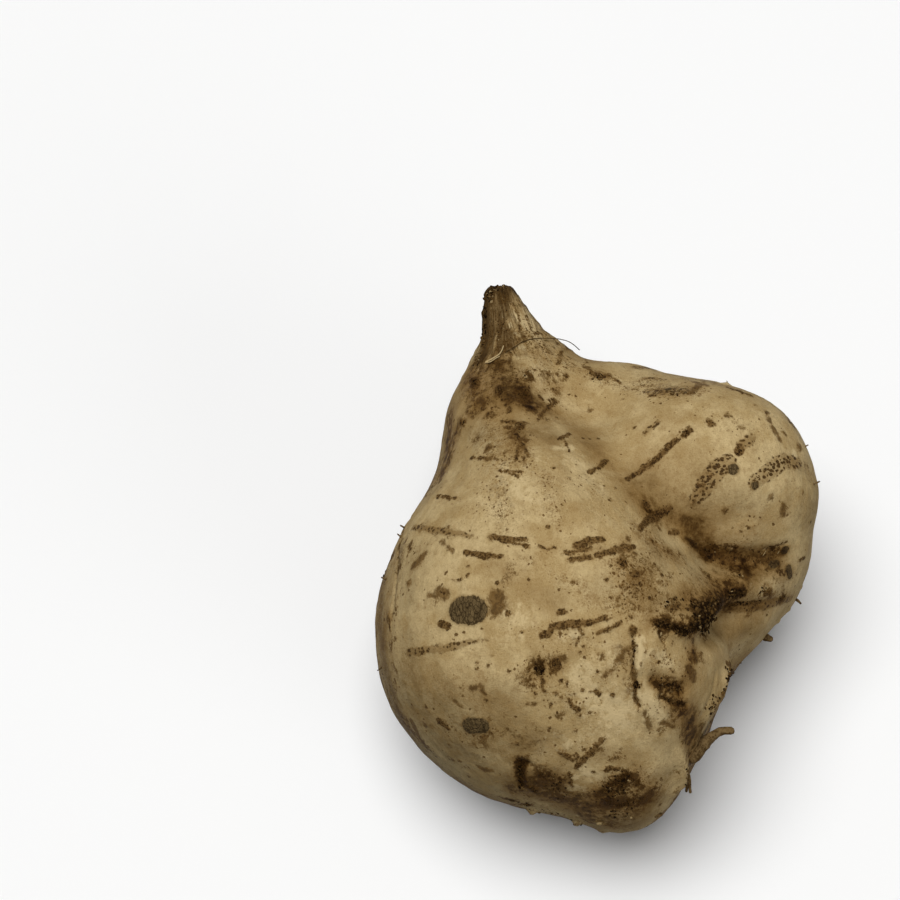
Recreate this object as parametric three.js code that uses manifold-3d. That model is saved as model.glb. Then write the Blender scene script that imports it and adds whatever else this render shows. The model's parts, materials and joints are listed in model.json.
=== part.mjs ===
// White sweet potato: one lobed storage root, grown as a single piece.
// A broad pear-shaped body runs up to a short woody neck, a second lobe bulges
// out on the right, and folds run in between where the lobes press together.
// The root lies on its broad underside, with its neck pointing back.
//
// Millimetres, +Z up. X runs across the root, +Y runs from the blunt end to the
// neck. The origin is the middle of the footprint, on the resting plane.
import * as THREE from 'three';
import { mergeVertices } from 'three/addons/utils/BufferGeometryUtils.js';
import Module from 'manifold-3d';

// ---------------------------------------------------------------- dimensions
const DETAIL = 17;            // subdivisions of the ball that the skin is cast from
const NECK_CROWD = 0.62;      // how closely the facets crowd on the slim neck
const NECK_SPREAD = 0.36;     // radians over which they do
const SEED = [-4.0, -1.109, -2.0];   // point inside the body that sees all of the skin
const REACH = 125;            // longest possible distance from that point to the skin
const REST_Z = -41.0;         // height of the flat spot the root lies on
const FACE_TILT = 58;         // degrees: the broad folded face leans back by this much
const MELT = 4.5;             // rounding where swellings of one lobe melt together
const LOBE_MELT_WIDE = 19.0;  // rounding between whole lobes, on the open sides
const LOBE_MELT_TIGHT = 6.5;  // rounding between lobes inside the folds

// Swellings of the root: centre x, y, z, half lengths, turn about Z (degrees), lobe.
const SWELLINGS = [
  [-9.0, -4.1, -1.0, 37.0, 44.0, 38.0, -10, 0],     // heart of the body
  [-20.5, -21.1, -4.0, 33.0, 36.0, 35.0, 6, 0],     // belly, left
  [-19.0, 28.3, 0.0, 19.5, 24.0, 24.0, 0, 0],       // shoulder under the neck
  [5.0, -24.7, -2.0, 22.0, 28.0, 34.0, 0, 0],       // middle of the front
  [4.5, -48.5, -13.0, 16.0, 14.0, 17.0, 0, 0],      // blunt tip
  [-8.0, -42.7, -9.0, 21.0, 16.0, 20.0, 0, 0],      // left of the blunt tip
  [1.0, 8.4, -13.5, 37.0, 44.0, 28.0, 0, 0],        // broad underside
  [13.0, -33.4, -7.0, 15.0, 20.0, 24.0, 10, 0],     // right of the blunt tip
  [29.5, 19.5, 0.0, 25.5, 27.0, 30.0, 0, 1],        // right lobe
  [4.0, 41.3, -2.0, 25.0, 13.0, 15.0, -12, 1],      // ridge from the neck to the right lobe
  [34.0, 2.1, -9.0, 18.0, 16.0, 22.0, 0, 2],        // wedge between the two folds
  [28.0, -10.1, -6.5, 16.0, 14.0, 22.5, 30, 3],     // bulge below the second fold
  [22.0, -20.7, -16.0, 12.0, 14.0, 14.0, 0, 4],     // low bulge behind the blunt tip
];

// Woody neck: x, y, z, radius along its middle.
const NECK = [
  [-18.0, 40.6, 3.0, 14.0],
  [-18.6, 56.3, 8.0, 10.0],
  [-20.3, 63.0, 10.5, 7.4],
  [-22.1, 68.0, 12.5, 6.0],
  [-23.3, 71.6, 13.7, 4.9],
];

// Folds in the broad face: across, up the face, depth, half width.
const FOLDS = [
  [[-12.2, 45.0, 2.0, 9.0], [-5.5, 36.2, 4.0, 10.0], [2.0, 26.2, 4.5, 10.0],
    [8.8, 16.2, 4.0, 9.0], [14.5, 8.8, 2.5, 7.0]],                       // valley beside the right lobe
  [[13.2, 8.0, 1.2, 6.0], [18.8, 3.8, 2.5, 5.0], [24.5, 1.0, 3.5, 4.5],
    [32.0, -0.5, 3.0, 4.0], [40.8, 0.0, 1.0, 4.0]],                      // fold under the right lobe
  [[14.5, -16.2, 0.8, 3.5], [20.7, -17.0, 2.0, 3.5], [26.3, -13.8, 3.5, 4.0],
    [31.2, -10.5, 2.5, 4.0], [38.2, -10.0, 1.0, 3.5]],                   // second fold
];

// Girth of the root round the middle of its broad face, as a Fourier series:
// the mean, then a cosine and a sine term for each harmonic. RIM is the plain
// outline in millimetres, and SWELL the factor that growth added to it.
const RIM = [55.974, -2.17, -3.088, -4.245, 4.518, 3.719, 2.322, 0.395, 4.45, -0.758,
  -1.864, 0.869, -1.929, -0.284, 0.811, -0.847, 0.221];
const SWELL = [0.99843, -0.00531, 0.00913, 0.0176, 0.01934, 0.00871, 0.00468, 0.01, -0.00772,
  0.00384, -0.01394, 0.00168, 0.00102, -0.01074, 0.00871, 0.00192, -0.00151, 0.00793, 0.00111,
  0.00085, -0.00313, -0.00107, 0.00004, 0.00016, 0.00259];

// Thin side roots and the stubs of broken ones: points along the middle, radius.
const SIDE_ROOTS = [
  { r: 0.95, path: [[19.0, -42.5, -15.5], [24.35, -44.7, -16.2], [26.1, -41.8, -14.4], [28.5, -39.9, -14.3], [30.7, -38.7, -14.8], [32.4, -38.8, -14.8]] },
  { r: 1.0, path: [[36.5, -13.0, -11.0], [41.0, -15.0, -12.2], [44.3, -16.4, -13.0]] },
  { r: 1.3, path: [[16.5, -50.5, -12.0], [19.3, -54.0, -12.8], [20.8, -55.8, -13.3]] },
];

// ------------------------------------------------------------------- helpers
const RAD = Math.PI / 180;
const SE = Math.sin(FACE_TILT * RAD), CE = Math.cos(FACE_TILT * RAD);
const step = (x, a, b) => { const t = Math.min(1, Math.max(0, (x - a) / (b - a))); return t * t * (3 - 2 * t); };

// The broad face has its own axes: u across, v up the face, w out of it.
const toFace = (x, y, z) => [x, y * SE + z * CE, -y * CE + z * SE];
const fromFace = (u, v, w) => [u, v * SE - w * CE, v * CE + w * SE];

function series(c, a) {
  let s = c[0];
  for (let h = 1; 2 * h < c.length; h++) s += c[2 * h - 1] * Math.cos(h * a) + c[2 * h] * Math.sin(h * a);
  return s;
}

// Signed distance, near enough, to a swelling: negative inside.
function swelling([cx, cy, cz, rx, ry, rz, turn], x, y, z) {
  const ca = Math.cos(turn * RAD), sa = Math.sin(turn * RAD);
  const dx = x - cx, dy = y - cy, dz = z - cz;
  const a = dx * ca + dy * sa, b = -dx * sa + dy * ca;
  const k0 = Math.hypot(a / rx, b / ry, dz / rz);
  const k1 = Math.hypot(a / (rx * rx), b / (ry * ry), dz / (rz * rz));
  return k0 * (k0 - 1) / Math.max(k1, 1e-9);
}

// Signed distance to one stretch of the neck.
function stretch(p, q, x, y, z) {
  const ax = q[0] - p[0], ay = q[1] - p[1], az = q[2] - p[2];
  const t = Math.min(1, Math.max(0, ((x - p[0]) * ax + (y - p[1]) * ay + (z - p[2]) * az) / (ax * ax + ay * ay + az * az)));
  return Math.hypot(x - p[0] - t * ax, y - p[1] - t * ay, z - p[2] - t * az) - (p[3] + (q[3] - p[3]) * t);
}

// Folds become rows of soft dents.
const DENT_POWER = 4;
const DENTS = FOLDS.map((line) => {
  const out = [];
  for (let i = 0; i + 1 < line.length; i++) {
    const a = line[i], b = line[i + 1];
    const length = Math.hypot(b[0] - a[0], b[1] - a[1]);
    const n = Math.max(1, Math.ceil(length / (0.35 * Math.min(a[3], b[3]))));
    for (let k = 0; k < n; k++) out.push([...a.map((v, j) => v + (b[j] - v) * k / n), length / n]);
  }
  out.push([...line[line.length - 1], out[out.length - 1][4]]);
  return out;
});

function folds(u, v, w) {
  let total = 0;
  for (const line of DENTS) {
    let sum = 0;
    for (const [du, dv, depth, half, gap] of line) {
      const e = ((u - du) ** 2 + (v - dv) ** 2) / (half * half);
      sum += depth ** DENT_POWER * Math.exp(-DENT_POWER * e) / (Math.sqrt(Math.PI / DENT_POWER) * half / gap);
    }
    total += sum ** (1 / DENT_POWER);
  }
  return total * step(w, -12, 4);
}

// The root as a field: negative inside, positive outside.
function field(x, y, z) {
  const [u, v, w] = toFace(x, y, z);
  const sums = [0, 0, 0, 0, 0];
  for (const s of SWELLINGS) sums[s[7]] += Math.exp(-swelling(s, x, y, z) / MELT);
  let neck = Infinity;
  for (let i = 0; i + 1 < NECK.length; i++) neck = Math.min(neck, stretch(NECK[i], NECK[i + 1], x, y, z));
  sums[0] += Math.exp(-neck / MELT);
  const lobes = sums.map((s) => -MELT * Math.log(Math.max(s, 1e-30)));
  const melt = LOBE_MELT_WIDE - (LOBE_MELT_WIDE - LOBE_MELT_TIGHT) * step(u, 6, 24) * (1 - step(v, 6, 20));
  let d = lobes[0];
  for (const other of lobes.slice(1)) {
    const h = Math.max(melt - Math.abs(d - other), 0) / melt;
    d = Math.min(d, other) - h * h * melt / 4;
  }
  return d + folds(u, v, w);
}

// Growth swells the outline a little, more at the rim than in the middle.
function grow(x, y, z) {
  const [u, v, w] = toFace(x, y, z);
  const a = Math.atan2(v, u);
  const s = 1 + (series(SWELL, a) - 1) * step(Math.hypot(u, v) / series(RIM, a), 0.3, 0.95);
  return fromFace(u * s, v * s, w);
}

// Skin point in one direction from the seed point.
function skin(dx, dy, dz) {
  let lo = 0, hi = REACH;
  for (let i = 0; i < 36; i++) {
    const m = (lo + hi) / 2;
    if (field(SEED[0] + dx * m, SEED[1] + dy * m, SEED[2] + dz * m) < 0) lo = m; else hi = m;
  }
  const m = (lo + hi) / 2;
  return grow(SEED[0] + dx * m, SEED[1] + dy * m, SEED[2] + dz * m);
}

function bare(geometry) {
  const g = geometry.clone();
  for (const name of Object.keys(g.attributes)) if (name !== 'position') g.deleteAttribute(name);
  return mergeVertices(g, 1e-4);
}

// ------------------------------------------------------------------ the body
const wasm = await Module();
wasm.setup();
const solid = (geometry) => {
  const g = bare(geometry);
  return new wasm.Manifold(new wasm.Mesh({
    numProp: 3,
    vertProperties: new Float32Array(g.attributes.position.array),
    triVerts: new Uint32Array(g.index.array),
  }));
};

const ball = bare(new THREE.IcosahedronGeometry(1, DETAIL));
const toNeck = new THREE.Vector3(NECK[4][0] - SEED[0], NECK[4][1] - SEED[1], NECK[4][2] - SEED[2]).normalize();
const position = ball.attributes.position;
for (let i = 0; i < position.count; i++) {
  const d = new THREE.Vector3().fromBufferAttribute(position, i).normalize();
  const angle = toNeck.angleTo(d);
  const away = d.clone().addScaledVector(toNeck, -d.dot(toNeck)).normalize();
  const drawn = angle * (1 - NECK_CROWD * Math.exp(-((angle / NECK_SPREAD) ** 2)));
  d.copy(toNeck).multiplyScalar(Math.cos(drawn)).addScaledVector(away, Math.sin(drawn));
  position.setXYZ(i, ...skin(d.x, d.y, d.z));
}

let root = solid(ball);

for (const { r, path } of SIDE_ROOTS) {
  const curve = new THREE.CatmullRomCurve3(path.map((p) => new THREE.Vector3(...p)));
  const section = new THREE.Shape();
  section.absarc(0, 0, r, 0, 2 * Math.PI, false);
  const tube = new THREE.ExtrudeGeometry(section, { steps: 3 * (path.length - 1), curveSegments: 8, bevelEnabled: false, extrudePath: curve });
  root = root.add(solid(tube));
}

// The flat spot it lies on.
const under = new THREE.BoxGeometry(300, 300, 60);
under.translate(0, 0, REST_Z - 30);
root = root.subtract(solid(under));

const cut = root.getMesh();
const geometry = new THREE.BufferGeometry();
geometry.setAttribute('position', new THREE.BufferAttribute(new Float32Array(cut.vertProperties), 3));
geometry.setIndex(new THREE.BufferAttribute(new Uint32Array(cut.triVerts), 1));
geometry.computeBoundingBox();
const box = geometry.boundingBox;
geometry.translate(-(box.min.x + box.max.x) / 2, -(box.min.y + box.max.y) / 2, -REST_Z);
geometry.computeVertexNormals();

const skinMaterial = new THREE.MeshStandardMaterial({ color: 0xc8b188, roughness: 0.72, metalness: 0 });
const tuber = new THREE.Mesh(geometry, skinMaterial);
tuber.name = 'tuber';

const whiteSweetPotato = new THREE.Group();
whiteSweetPotato.add(tuber);

export default whiteSweetPotato;
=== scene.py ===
"""White sweet potato: one lobed tuber with its cut neck, creases, corky scars, scabs, soil and dry side roots.

All lengths below are millimetres until the mesh is written (metres). The tuber's skin is cast from the same
swellings, neck, folds and growth outline as its CAD solid, only much finer, then it is given its small relief.
Marks on the side that faces the camera are listed as strokes in the camera's 900 x 900 frame (x, y, radius) and
are laid on the skin by casting a ray; the hidden sides get seeded marks of the same kinds.
"""
import json
import math

import bpy
import numpy as np
from mathutils import Matrix, Vector
from mathutils.bvhtree import BVHTree

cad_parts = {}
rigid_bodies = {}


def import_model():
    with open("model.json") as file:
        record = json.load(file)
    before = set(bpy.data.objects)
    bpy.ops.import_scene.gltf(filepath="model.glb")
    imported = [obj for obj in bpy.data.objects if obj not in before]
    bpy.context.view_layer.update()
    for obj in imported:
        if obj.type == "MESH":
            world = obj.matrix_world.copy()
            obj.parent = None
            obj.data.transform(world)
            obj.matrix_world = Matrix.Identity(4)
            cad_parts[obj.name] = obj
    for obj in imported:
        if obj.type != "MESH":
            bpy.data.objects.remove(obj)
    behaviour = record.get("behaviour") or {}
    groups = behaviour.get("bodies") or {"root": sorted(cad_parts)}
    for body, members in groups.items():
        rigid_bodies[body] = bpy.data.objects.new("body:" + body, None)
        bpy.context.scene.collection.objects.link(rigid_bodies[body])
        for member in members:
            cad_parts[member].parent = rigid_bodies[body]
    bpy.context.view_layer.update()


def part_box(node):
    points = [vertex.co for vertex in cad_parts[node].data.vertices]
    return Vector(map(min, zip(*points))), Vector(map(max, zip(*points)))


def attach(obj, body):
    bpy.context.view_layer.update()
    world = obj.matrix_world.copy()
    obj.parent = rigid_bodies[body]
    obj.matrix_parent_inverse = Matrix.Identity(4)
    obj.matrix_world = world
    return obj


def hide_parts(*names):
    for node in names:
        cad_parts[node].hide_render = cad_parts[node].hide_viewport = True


for _o in list(bpy.data.objects):
    bpy.data.objects.remove(_o, do_unlink=True)

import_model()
LO, HI = [np.array([float(v) for v in c]) * 1000.0 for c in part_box("tuber")]

# ------------------------------------------------------------------ the tuber's form (same figures as its solid)
ELEV = math.radians(58.0)
SE, CE = math.sin(ELEV), math.cos(ELEV)
BLEND = 4.5
SWELLINGS = [
    [-9.0, -4.1, -1.0, 37, 44, 38, -10, 0], [-20.5, -21.1, -4, 33, 36, 35, 6, 0], [-19, 28.3, 0, 19.5, 24, 24, 0, 0],
    [5, -24.7, -2, 22, 28, 34, 0, 0], [4.5, -48.5, -13, 16, 14, 17, 0, 0], [-8, -42.7, -9, 21, 16, 20, 0, 0],
    [1, 8.4, -13.5, 37, 44, 28, 0, 0], [13, -33.4, -7, 15, 20, 24, 10, 0], [29.5, 19.5, 0, 25.5, 27, 30, 0, 1],
    [4, 41.3, -2, 25, 13, 15, -12, 1], [34, 2.1, -9, 18, 16, 22, 0, 2], [28, -10.1, -6.5, 16, 14, 22.5, 30, 3],
    [22, -20.7, -16, 12, 14, 14, 0, 4],
]
NECK = [[-18, 40.6, 3, 14], [-18.6, 56.3, 8, 10], [-20.3, 63, 10.5, 7.4], [-22.1, 68, 12.5, 6], [-23.3, 71.6, 13.7, 4.9]]
FOLDS = [
    [[-12.2, 45, 2, 9], [-5.5, 36.2, 4, 10], [2, 26.2, 4.5, 10], [8.8, 16.2, 4, 9], [14.5, 8.8, 2.5, 7]],
    [[13.2, 8, 1.2, 6], [18.8, 3.8, 2.5, 5], [24.5, 1, 3.5, 4.5], [32, -0.5, 3, 4], [40.8, 0, 1, 4]],
    [[14.5, -16.2, 0.8, 3.5], [20.7, -17, 2, 3.5], [26.3, -13.8, 3.5, 4], [31.2, -10.5, 2.5, 4], [38.2, -10, 1, 3.5]],
]
RIM = [55.974, -2.17, -3.088, -4.245, 4.518, 3.719, 2.322, 0.395, 4.45, -0.758, -1.864, 0.869, -1.929, -0.284, 0.811, -0.847, 0.221]
SWELL = [0.99843, -0.00531, 0.00913, 0.0176, 0.01934, 0.00871, 0.00468, 0.01, -0.00772, 0.00384, -0.01394, 0.00168, 0.00102,
         -0.01074, 0.00871, 0.00192, -0.00151, 0.00793, 0.00111, 0.00085, -0.00313, -0.00107, 0.00004, 0.00016, 0.00259]
SEED = np.array([-4.0, -1.109, -2.0])
REST_Z = -41.0


def smooth(x, a, b):
    t = np.clip((x - a) / (b - a), 0, 1)
    return t * t * (3 - 2 * t)


def series(c, a):
    o = c[0] + 0 * a
    for h in range(1, (len(c) - 1) // 2 + 1):
        o = o + c[2 * h - 1] * np.cos(h * a) + c[2 * h] * np.sin(h * a)
    return o


def to_face(P):
    return np.stack([P[..., 0], P[..., 1] * SE + P[..., 2] * CE, -P[..., 1] * CE + P[..., 2] * SE], -1)


def from_face(Q):
    return np.stack([Q[..., 0], Q[..., 1] * SE - Q[..., 2] * CE, Q[..., 1] * CE + Q[..., 2] * SE], -1)


def swelling(P, s):
    a = math.radians(s[6]); ca, sa = math.cos(a), math.sin(a)
    dx, dy, dz = P[:, 0] - s[0], P[:, 1] - s[1], P[:, 2] - s[2]
    x = dx * ca + dy * sa; y = -dx * sa + dy * ca
    k0 = np.sqrt((x / s[3]) ** 2 + (y / s[4]) ** 2 + (dz / s[5]) ** 2)
    k1 = np.sqrt((x / s[3] ** 2) ** 2 + (y / s[4] ** 2) ** 2 + (dz / s[5] ** 2) ** 2)
    return k0 * (k0 - 1) / np.maximum(k1, 1e-9)


def cone(P, a, b):
    A, B = np.array(a[:3], float), np.array(b[:3], float)
    ab = B - A
    t = np.clip(((P - A) @ ab) / (ab @ ab), 0, 1)
    return np.linalg.norm(P - (A + t[:, None] * ab), axis=1) - (a[3] + (b[3] - a[3]) * t)


DENTS = []
for _f in FOLDS:
    _o = []
    for a, b in zip(_f[:-1], _f[1:]):
        L = math.hypot(b[0] - a[0], b[1] - a[1]); n = max(1, math.ceil(L / (0.35 * min(a[3], b[3]))))
        for i in range(n):
            t = i / n
            _o.append([a[k] + (b[k] - a[k]) * t for k in range(4)] + [L / n])
    _o.append(list(_f[-1]) + [_o[-1][4]])
    DENTS.append(_o)


def field(P):
    acc = [0.0] * 5
    for s in SWELLINGS:
        acc[s[7]] = acc[s[7]] + np.exp(-swelling(P, s) / BLEND)
    d = None
    for a, b in zip(NECK[:-1], NECK[1:]):
        c = cone(P, a, b)
        d = c if d is None else np.minimum(d, c)
    acc[0] = acc[0] + np.exp(-d / BLEND)
    Q = to_face(P); u, v, w = Q[:, 0], Q[:, 1], Q[:, 2]
    kb = 19.0 - 12.5 * smooth(u, 6, 24) * (1 - smooth(v, 6, 20))
    dd = [-BLEND * np.log(np.maximum(a_, 1e-30)) for a_ in acc]
    m = dd[0]
    for d in dd[1:]:
        h = np.maximum(kb - np.abs(m - d), 0) / kb
        m = np.minimum(m, d) - h * h * kb * 0.25
    tot = 0.0
    for fold in DENTS:
        q = 0.0
        for x, y, dep, hw, gap in fold:
            q = q + dep ** 4 * np.exp(-4 * ((u - x) ** 2 + (v - y) ** 2) / (hw * hw)) / (math.sqrt(math.pi / 4) * hw / gap)
        tot = tot + q ** 0.25
    return m + tot * smooth(w, -12, 4)


def cast(dirs):
    lo = np.zeros(len(dirs)); hi = np.full(len(dirs), 125.0)
    for _ in range(24):
        m = (lo + hi) / 2
        inside = field(SEED + dirs * m[:, None]) < 0
        lo = np.where(inside, m, lo); hi = np.where(inside, hi, m)
    P = SEED + dirs * ((lo + hi) / 2)[:, None]
    Q = to_face(P); a = np.arctan2(Q[:, 1], Q[:, 0]); r = np.hypot(Q[:, 0], Q[:, 1])
    s = 1 + (series(SWELL, a) - 1) * smooth(r / series(RIM, a), 0.3, 0.95)
    P = from_face(np.stack([Q[:, 0] * s, Q[:, 1] * s, Q[:, 2]], -1))
    z = P[:, 2]
    h = np.maximum(1.4 - np.abs(z - REST_Z), 0) / 1.4
    P[:, 2] = np.where(z < REST_Z - 1.4, REST_Z, np.maximum(z, REST_Z) + h * h * 1.4 * 0.25)
    return P


# ------------------------------------------------------------------ a fine net of directions, closest on the camera's side and on the neck
def geodesic(n):
    g = (1 + 5 ** 0.5) / 2
    V = np.array([[-1, g, 0], [1, g, 0], [-1, -g, 0], [1, -g, 0], [0, -1, g], [0, 1, g], [0, -1, -g], [0, 1, -g],
                  [g, 0, -1], [g, 0, 1], [-g, 0, -1], [-g, 0, 1]], float)
    F = [[0, 11, 5], [0, 5, 1], [0, 1, 7], [0, 7, 10], [0, 10, 11], [1, 5, 9], [5, 11, 4], [11, 10, 2], [10, 7, 6], [7, 1, 8],
         [3, 9, 4], [3, 4, 2], [3, 2, 6], [3, 6, 8], [3, 8, 9], [4, 9, 5], [2, 4, 11], [6, 2, 10], [8, 6, 7], [9, 8, 1]]
    pts, tris, base = [], [], 0
    ii, jj = [], []
    for i in range(n + 1):
        for j in range(n + 1 - i):
            ii.append(i); jj.append(j)
    ii, jj = np.array(ii), np.array(jj)
    ident = {(i, j): k for k, (i, j) in enumerate(zip(ii.tolist(), jj.tolist()))}
    loc = []
    for i in range(n):
        for j in range(n - i):
            loc.append([ident[i, j], ident[i + 1, j], ident[i, j + 1]])
            if i + j < n - 1:
                loc.append([ident[i + 1, j], ident[i + 1, j + 1], ident[i, j + 1]])
    loc = np.array(loc)
    for f in F:
        A, B, C = V[f[0]], V[f[1]], V[f[2]]
        p = A + (B - A) * (ii / n)[:, None] + (C - A) * (jj / n)[:, None]
        pts.append(p / np.linalg.norm(p, axis=1)[:, None]); tris.append(loc + base); base += len(p)
    P = np.concatenate(pts); T = np.concatenate(tris)
    key = np.round(P * 1e6).astype(np.int64)
    _, first, inv = np.unique(key, axis=0, return_index=True, return_inverse=True)
    return P[first], np.asarray(inv).reshape(-1)[T]


NET = 97
UNI, TRI = geodesic(NET)
th = np.arccos(np.clip(UNI[:, 2], -1, 1)); ph = np.arctan2(UNI[:, 1], UNI[:, 0])
th2 = th - 0.40 * np.sin(th)
D1 = np.stack([np.sin(th2) * np.cos(ph), np.sin(th2) * np.sin(ph), np.cos(th2)], -1)
_tip = to_face(np.array(NECK[-1][:3], float)[None] - SEED)[0]; _tip /= np.linalg.norm(_tip)
ang = np.arccos(np.clip(D1 @ _tip, -1, 1))
side = D1 - (D1 @ _tip)[:, None] * _tip
side /= np.maximum(np.linalg.norm(side, axis=1), 1e-9)[:, None]
ang2 = ang * (1 - 0.56 * np.exp(-(ang / 0.42) ** 2))
D2 = np.cos(ang2)[:, None] * _tip + np.sin(ang2)[:, None] * side
BASE = np.concatenate([cast(part) for part in np.array_split(from_face(D2), 12)])
SHIFT = np.array([(LO[0] + HI[0]) / 2 - (BASE[:, 0].min() + BASE[:, 0].max()) / 2,
                  (LO[1] + HI[1]) / 2 - (BASE[:, 1].min() + BASE[:, 1].max()) / 2, LO[2] - REST_Z])
BASE = BASE + SHIFT
NV = len(BASE)
CAM = from_face(np.array([[-36.75, 27.5, 450.0]]))[0] + SHIFT
AXU, AXV, AXW = np.array([1.0, 0, 0]), np.array([0, SE, CE]), np.array([0, -CE, SE])


def normals(P, T):
    n = np.cross(P[T[:, 1]] - P[T[:, 0]], P[T[:, 2]] - P[T[:, 0]])
    out = np.zeros_like(P)
    for k in range(3):
        np.add.at(out, T[:, k], n)
    return out / np.maximum(np.linalg.norm(out, axis=1), 1e-12)[:, None]


if np.mean(np.einsum("ij,ij->i", normals(BASE, TRI), BASE - (SEED + SHIFT))) < 0:
    TRI = TRI[:, ::-1]
NRM = normals(BASE, TRI)
TREE = BVHTree.FromPolygons([Vector(p) for p in BASE.tolist()], TRI.tolist())
TOWARD = CAM - BASE
TOWARD /= np.linalg.norm(TOWARD, axis=1)[:, None]
FACING = np.einsum("ij,ij->i", NRM, TOWARD)
_rel = BASE - CAM
_dep = -(_rel @ AXW)
PXV = np.stack([450 + 1800 * (_rel @ AXU) / _dep, 450 - 1800 * (_rel @ AXV) / _dep], -1)
FRONT = np.nonzero(FACING > 0.0)[0]
NECK_AX = np.array(NECK[-1][:3], float) - np.array(NECK[0][:3], float); NECK_AX /= np.linalg.norm(NECK_AX)
NECK_TOP = np.array(NECK[-1][:3], float) + SHIFT
GX = np.cross(NECK_AX, AXW); GX /= np.linalg.norm(GX)
GY = np.cross(NECK_AX, GX)


# ------------------------------------------------------------------ seeded noise
def hash3(ix, iy, iz, seed):
    with np.errstate(over="ignore"):
        h = (ix.astype(np.uint32) * np.uint32(374761393) + iy.astype(np.uint32) * np.uint32(668265263)
             + iz.astype(np.uint32) * np.uint32(2246822519) + np.uint32((seed * 3266489917) & 0xFFFFFFFF))
        h ^= h >> np.uint32(13); h *= np.uint32(1274126177); h ^= h >> np.uint32(16)
        h *= np.uint32(2654435761); h ^= h >> np.uint32(15)
    return h.astype(np.float64) / 4294967295.0 * 2 - 1


def vnoise(P, size, seed):
    Q = np.asarray(P) / size + 1000.0
    I = np.floor(Q).astype(np.int64); f = Q - I
    f = f * f * f * (f * (f * 6 - 15) + 10)
    out = 0.0
    for dx in (0, 1):
        wx = f[:, 0] if dx else 1 - f[:, 0]
        for dy in (0, 1):
            wy = f[:, 1] if dy else 1 - f[:, 1]
            for dz in (0, 1):
                wz = f[:, 2] if dz else 1 - f[:, 2]
                out = out + wx * wy * wz * hash3(I[:, 0] + dx, I[:, 1] + dy, I[:, 2] + dz, seed)
    return out


# ------------------------------------------------------------------ strokes
def mm_per_px(p):
    return float(-((p - CAM) @ AXW)) / 1800.0


def lift(x, y):
    d = AXU * ((x - 450) / 1800) - AXV * ((y - 450) / 1800) - AXW
    hit = TREE.ray_cast(Vector(CAM), Vector(d / np.linalg.norm(d)))
    if hit[0] is not None:
        return np.array(hit[0])
    k = FRONT[np.argmin((PXV[FRONT, 0] - x) ** 2 + (PXV[FRONT, 1] - y) ** 2)]
    return BASE[k]


def laid(stroke, step=3.0):
    """A stroke [(x, y, radius), ...] of the camera's frame as [[X, Y, Z, radius mm], ...] on the skin."""
    pts = [tuple(map(float, q)) for q in stroke]
    if len(pts) == 1:
        p = lift(pts[0][0], pts[0][1]); return np.array([[*p, pts[0][2] * mm_per_px(p)]] * 2)
    out = []
    for a, b in zip(pts[:-1], pts[1:]):
        n = max(1, math.ceil(math.hypot(b[0] - a[0], b[1] - a[1]) / step))
        for i in range(n):
            t = i / n
            p = lift(a[0] + (b[0] - a[0]) * t, a[1] + (b[1] - a[1]) * t)
            out.append([*p, (a[2] + (b[2] - a[2]) * t) * mm_per_px(p)])
    p = lift(pts[-1][0], pts[-1][1]); out.append([*p, pts[-1][2] * mm_per_px(p)])
    return np.array(out)


def near(S, reach):
    lo = S[:, :3].min(0) - S[:, 3].max() - reach; hi = S[:, :3].max(0) + S[:, 3].max() + reach
    return np.nonzero(np.all((BASE > lo) & (BASE < hi), axis=1))[0]


def dist_to(S, idx):
    """(distance to the line, radius there) for the vertices idx."""
    P = BASE[idx]; bd = np.full(len(idx), 1e9); br = np.zeros(len(idx)); bs = bd.copy()
    for a, b in zip(S[:-1], S[1:]):
        ab = b[:3] - a[:3]; L = ab @ ab
        t = np.clip(((P - a[:3]) @ ab) / L, 0, 1) if L > 1e-9 else np.zeros(len(idx))
        d = np.linalg.norm(P - (a[:3] + t[:, None] * ab), axis=1); r = a[3] + (b[3] - a[3]) * t
        m = d - r < bs
        bs = np.where(m, d - r, bs); bd = np.where(m, d, bd); br = np.where(m, r, br)
    return bd, br


def signed(strokes, cap=4.0):
    out = np.full(NV, cap)
    for S in strokes:
        idx = near(S, cap)
        d, r = dist_to(S, idx)
        out[idx] = np.minimum(out[idx], d - r)
    return out


def soft(strokes):
    """strokes: (S, amount); amount falls off as a bell whose half-strength is near the radius."""
    out = np.zeros(NV)
    for S, amount in strokes:
        idx = near(S, 2.2 * S[:, 3].max())
        d, r = dist_to(S, idx)
        a = amount * (np.exp(-0.5 * (d / np.maximum(r, 1e-6)) ** 2) - 0.006) / 0.994
        out[idx] = 1 - (1 - out[idx]) * (1 - np.clip(a, 0, 1))
    return out


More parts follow.
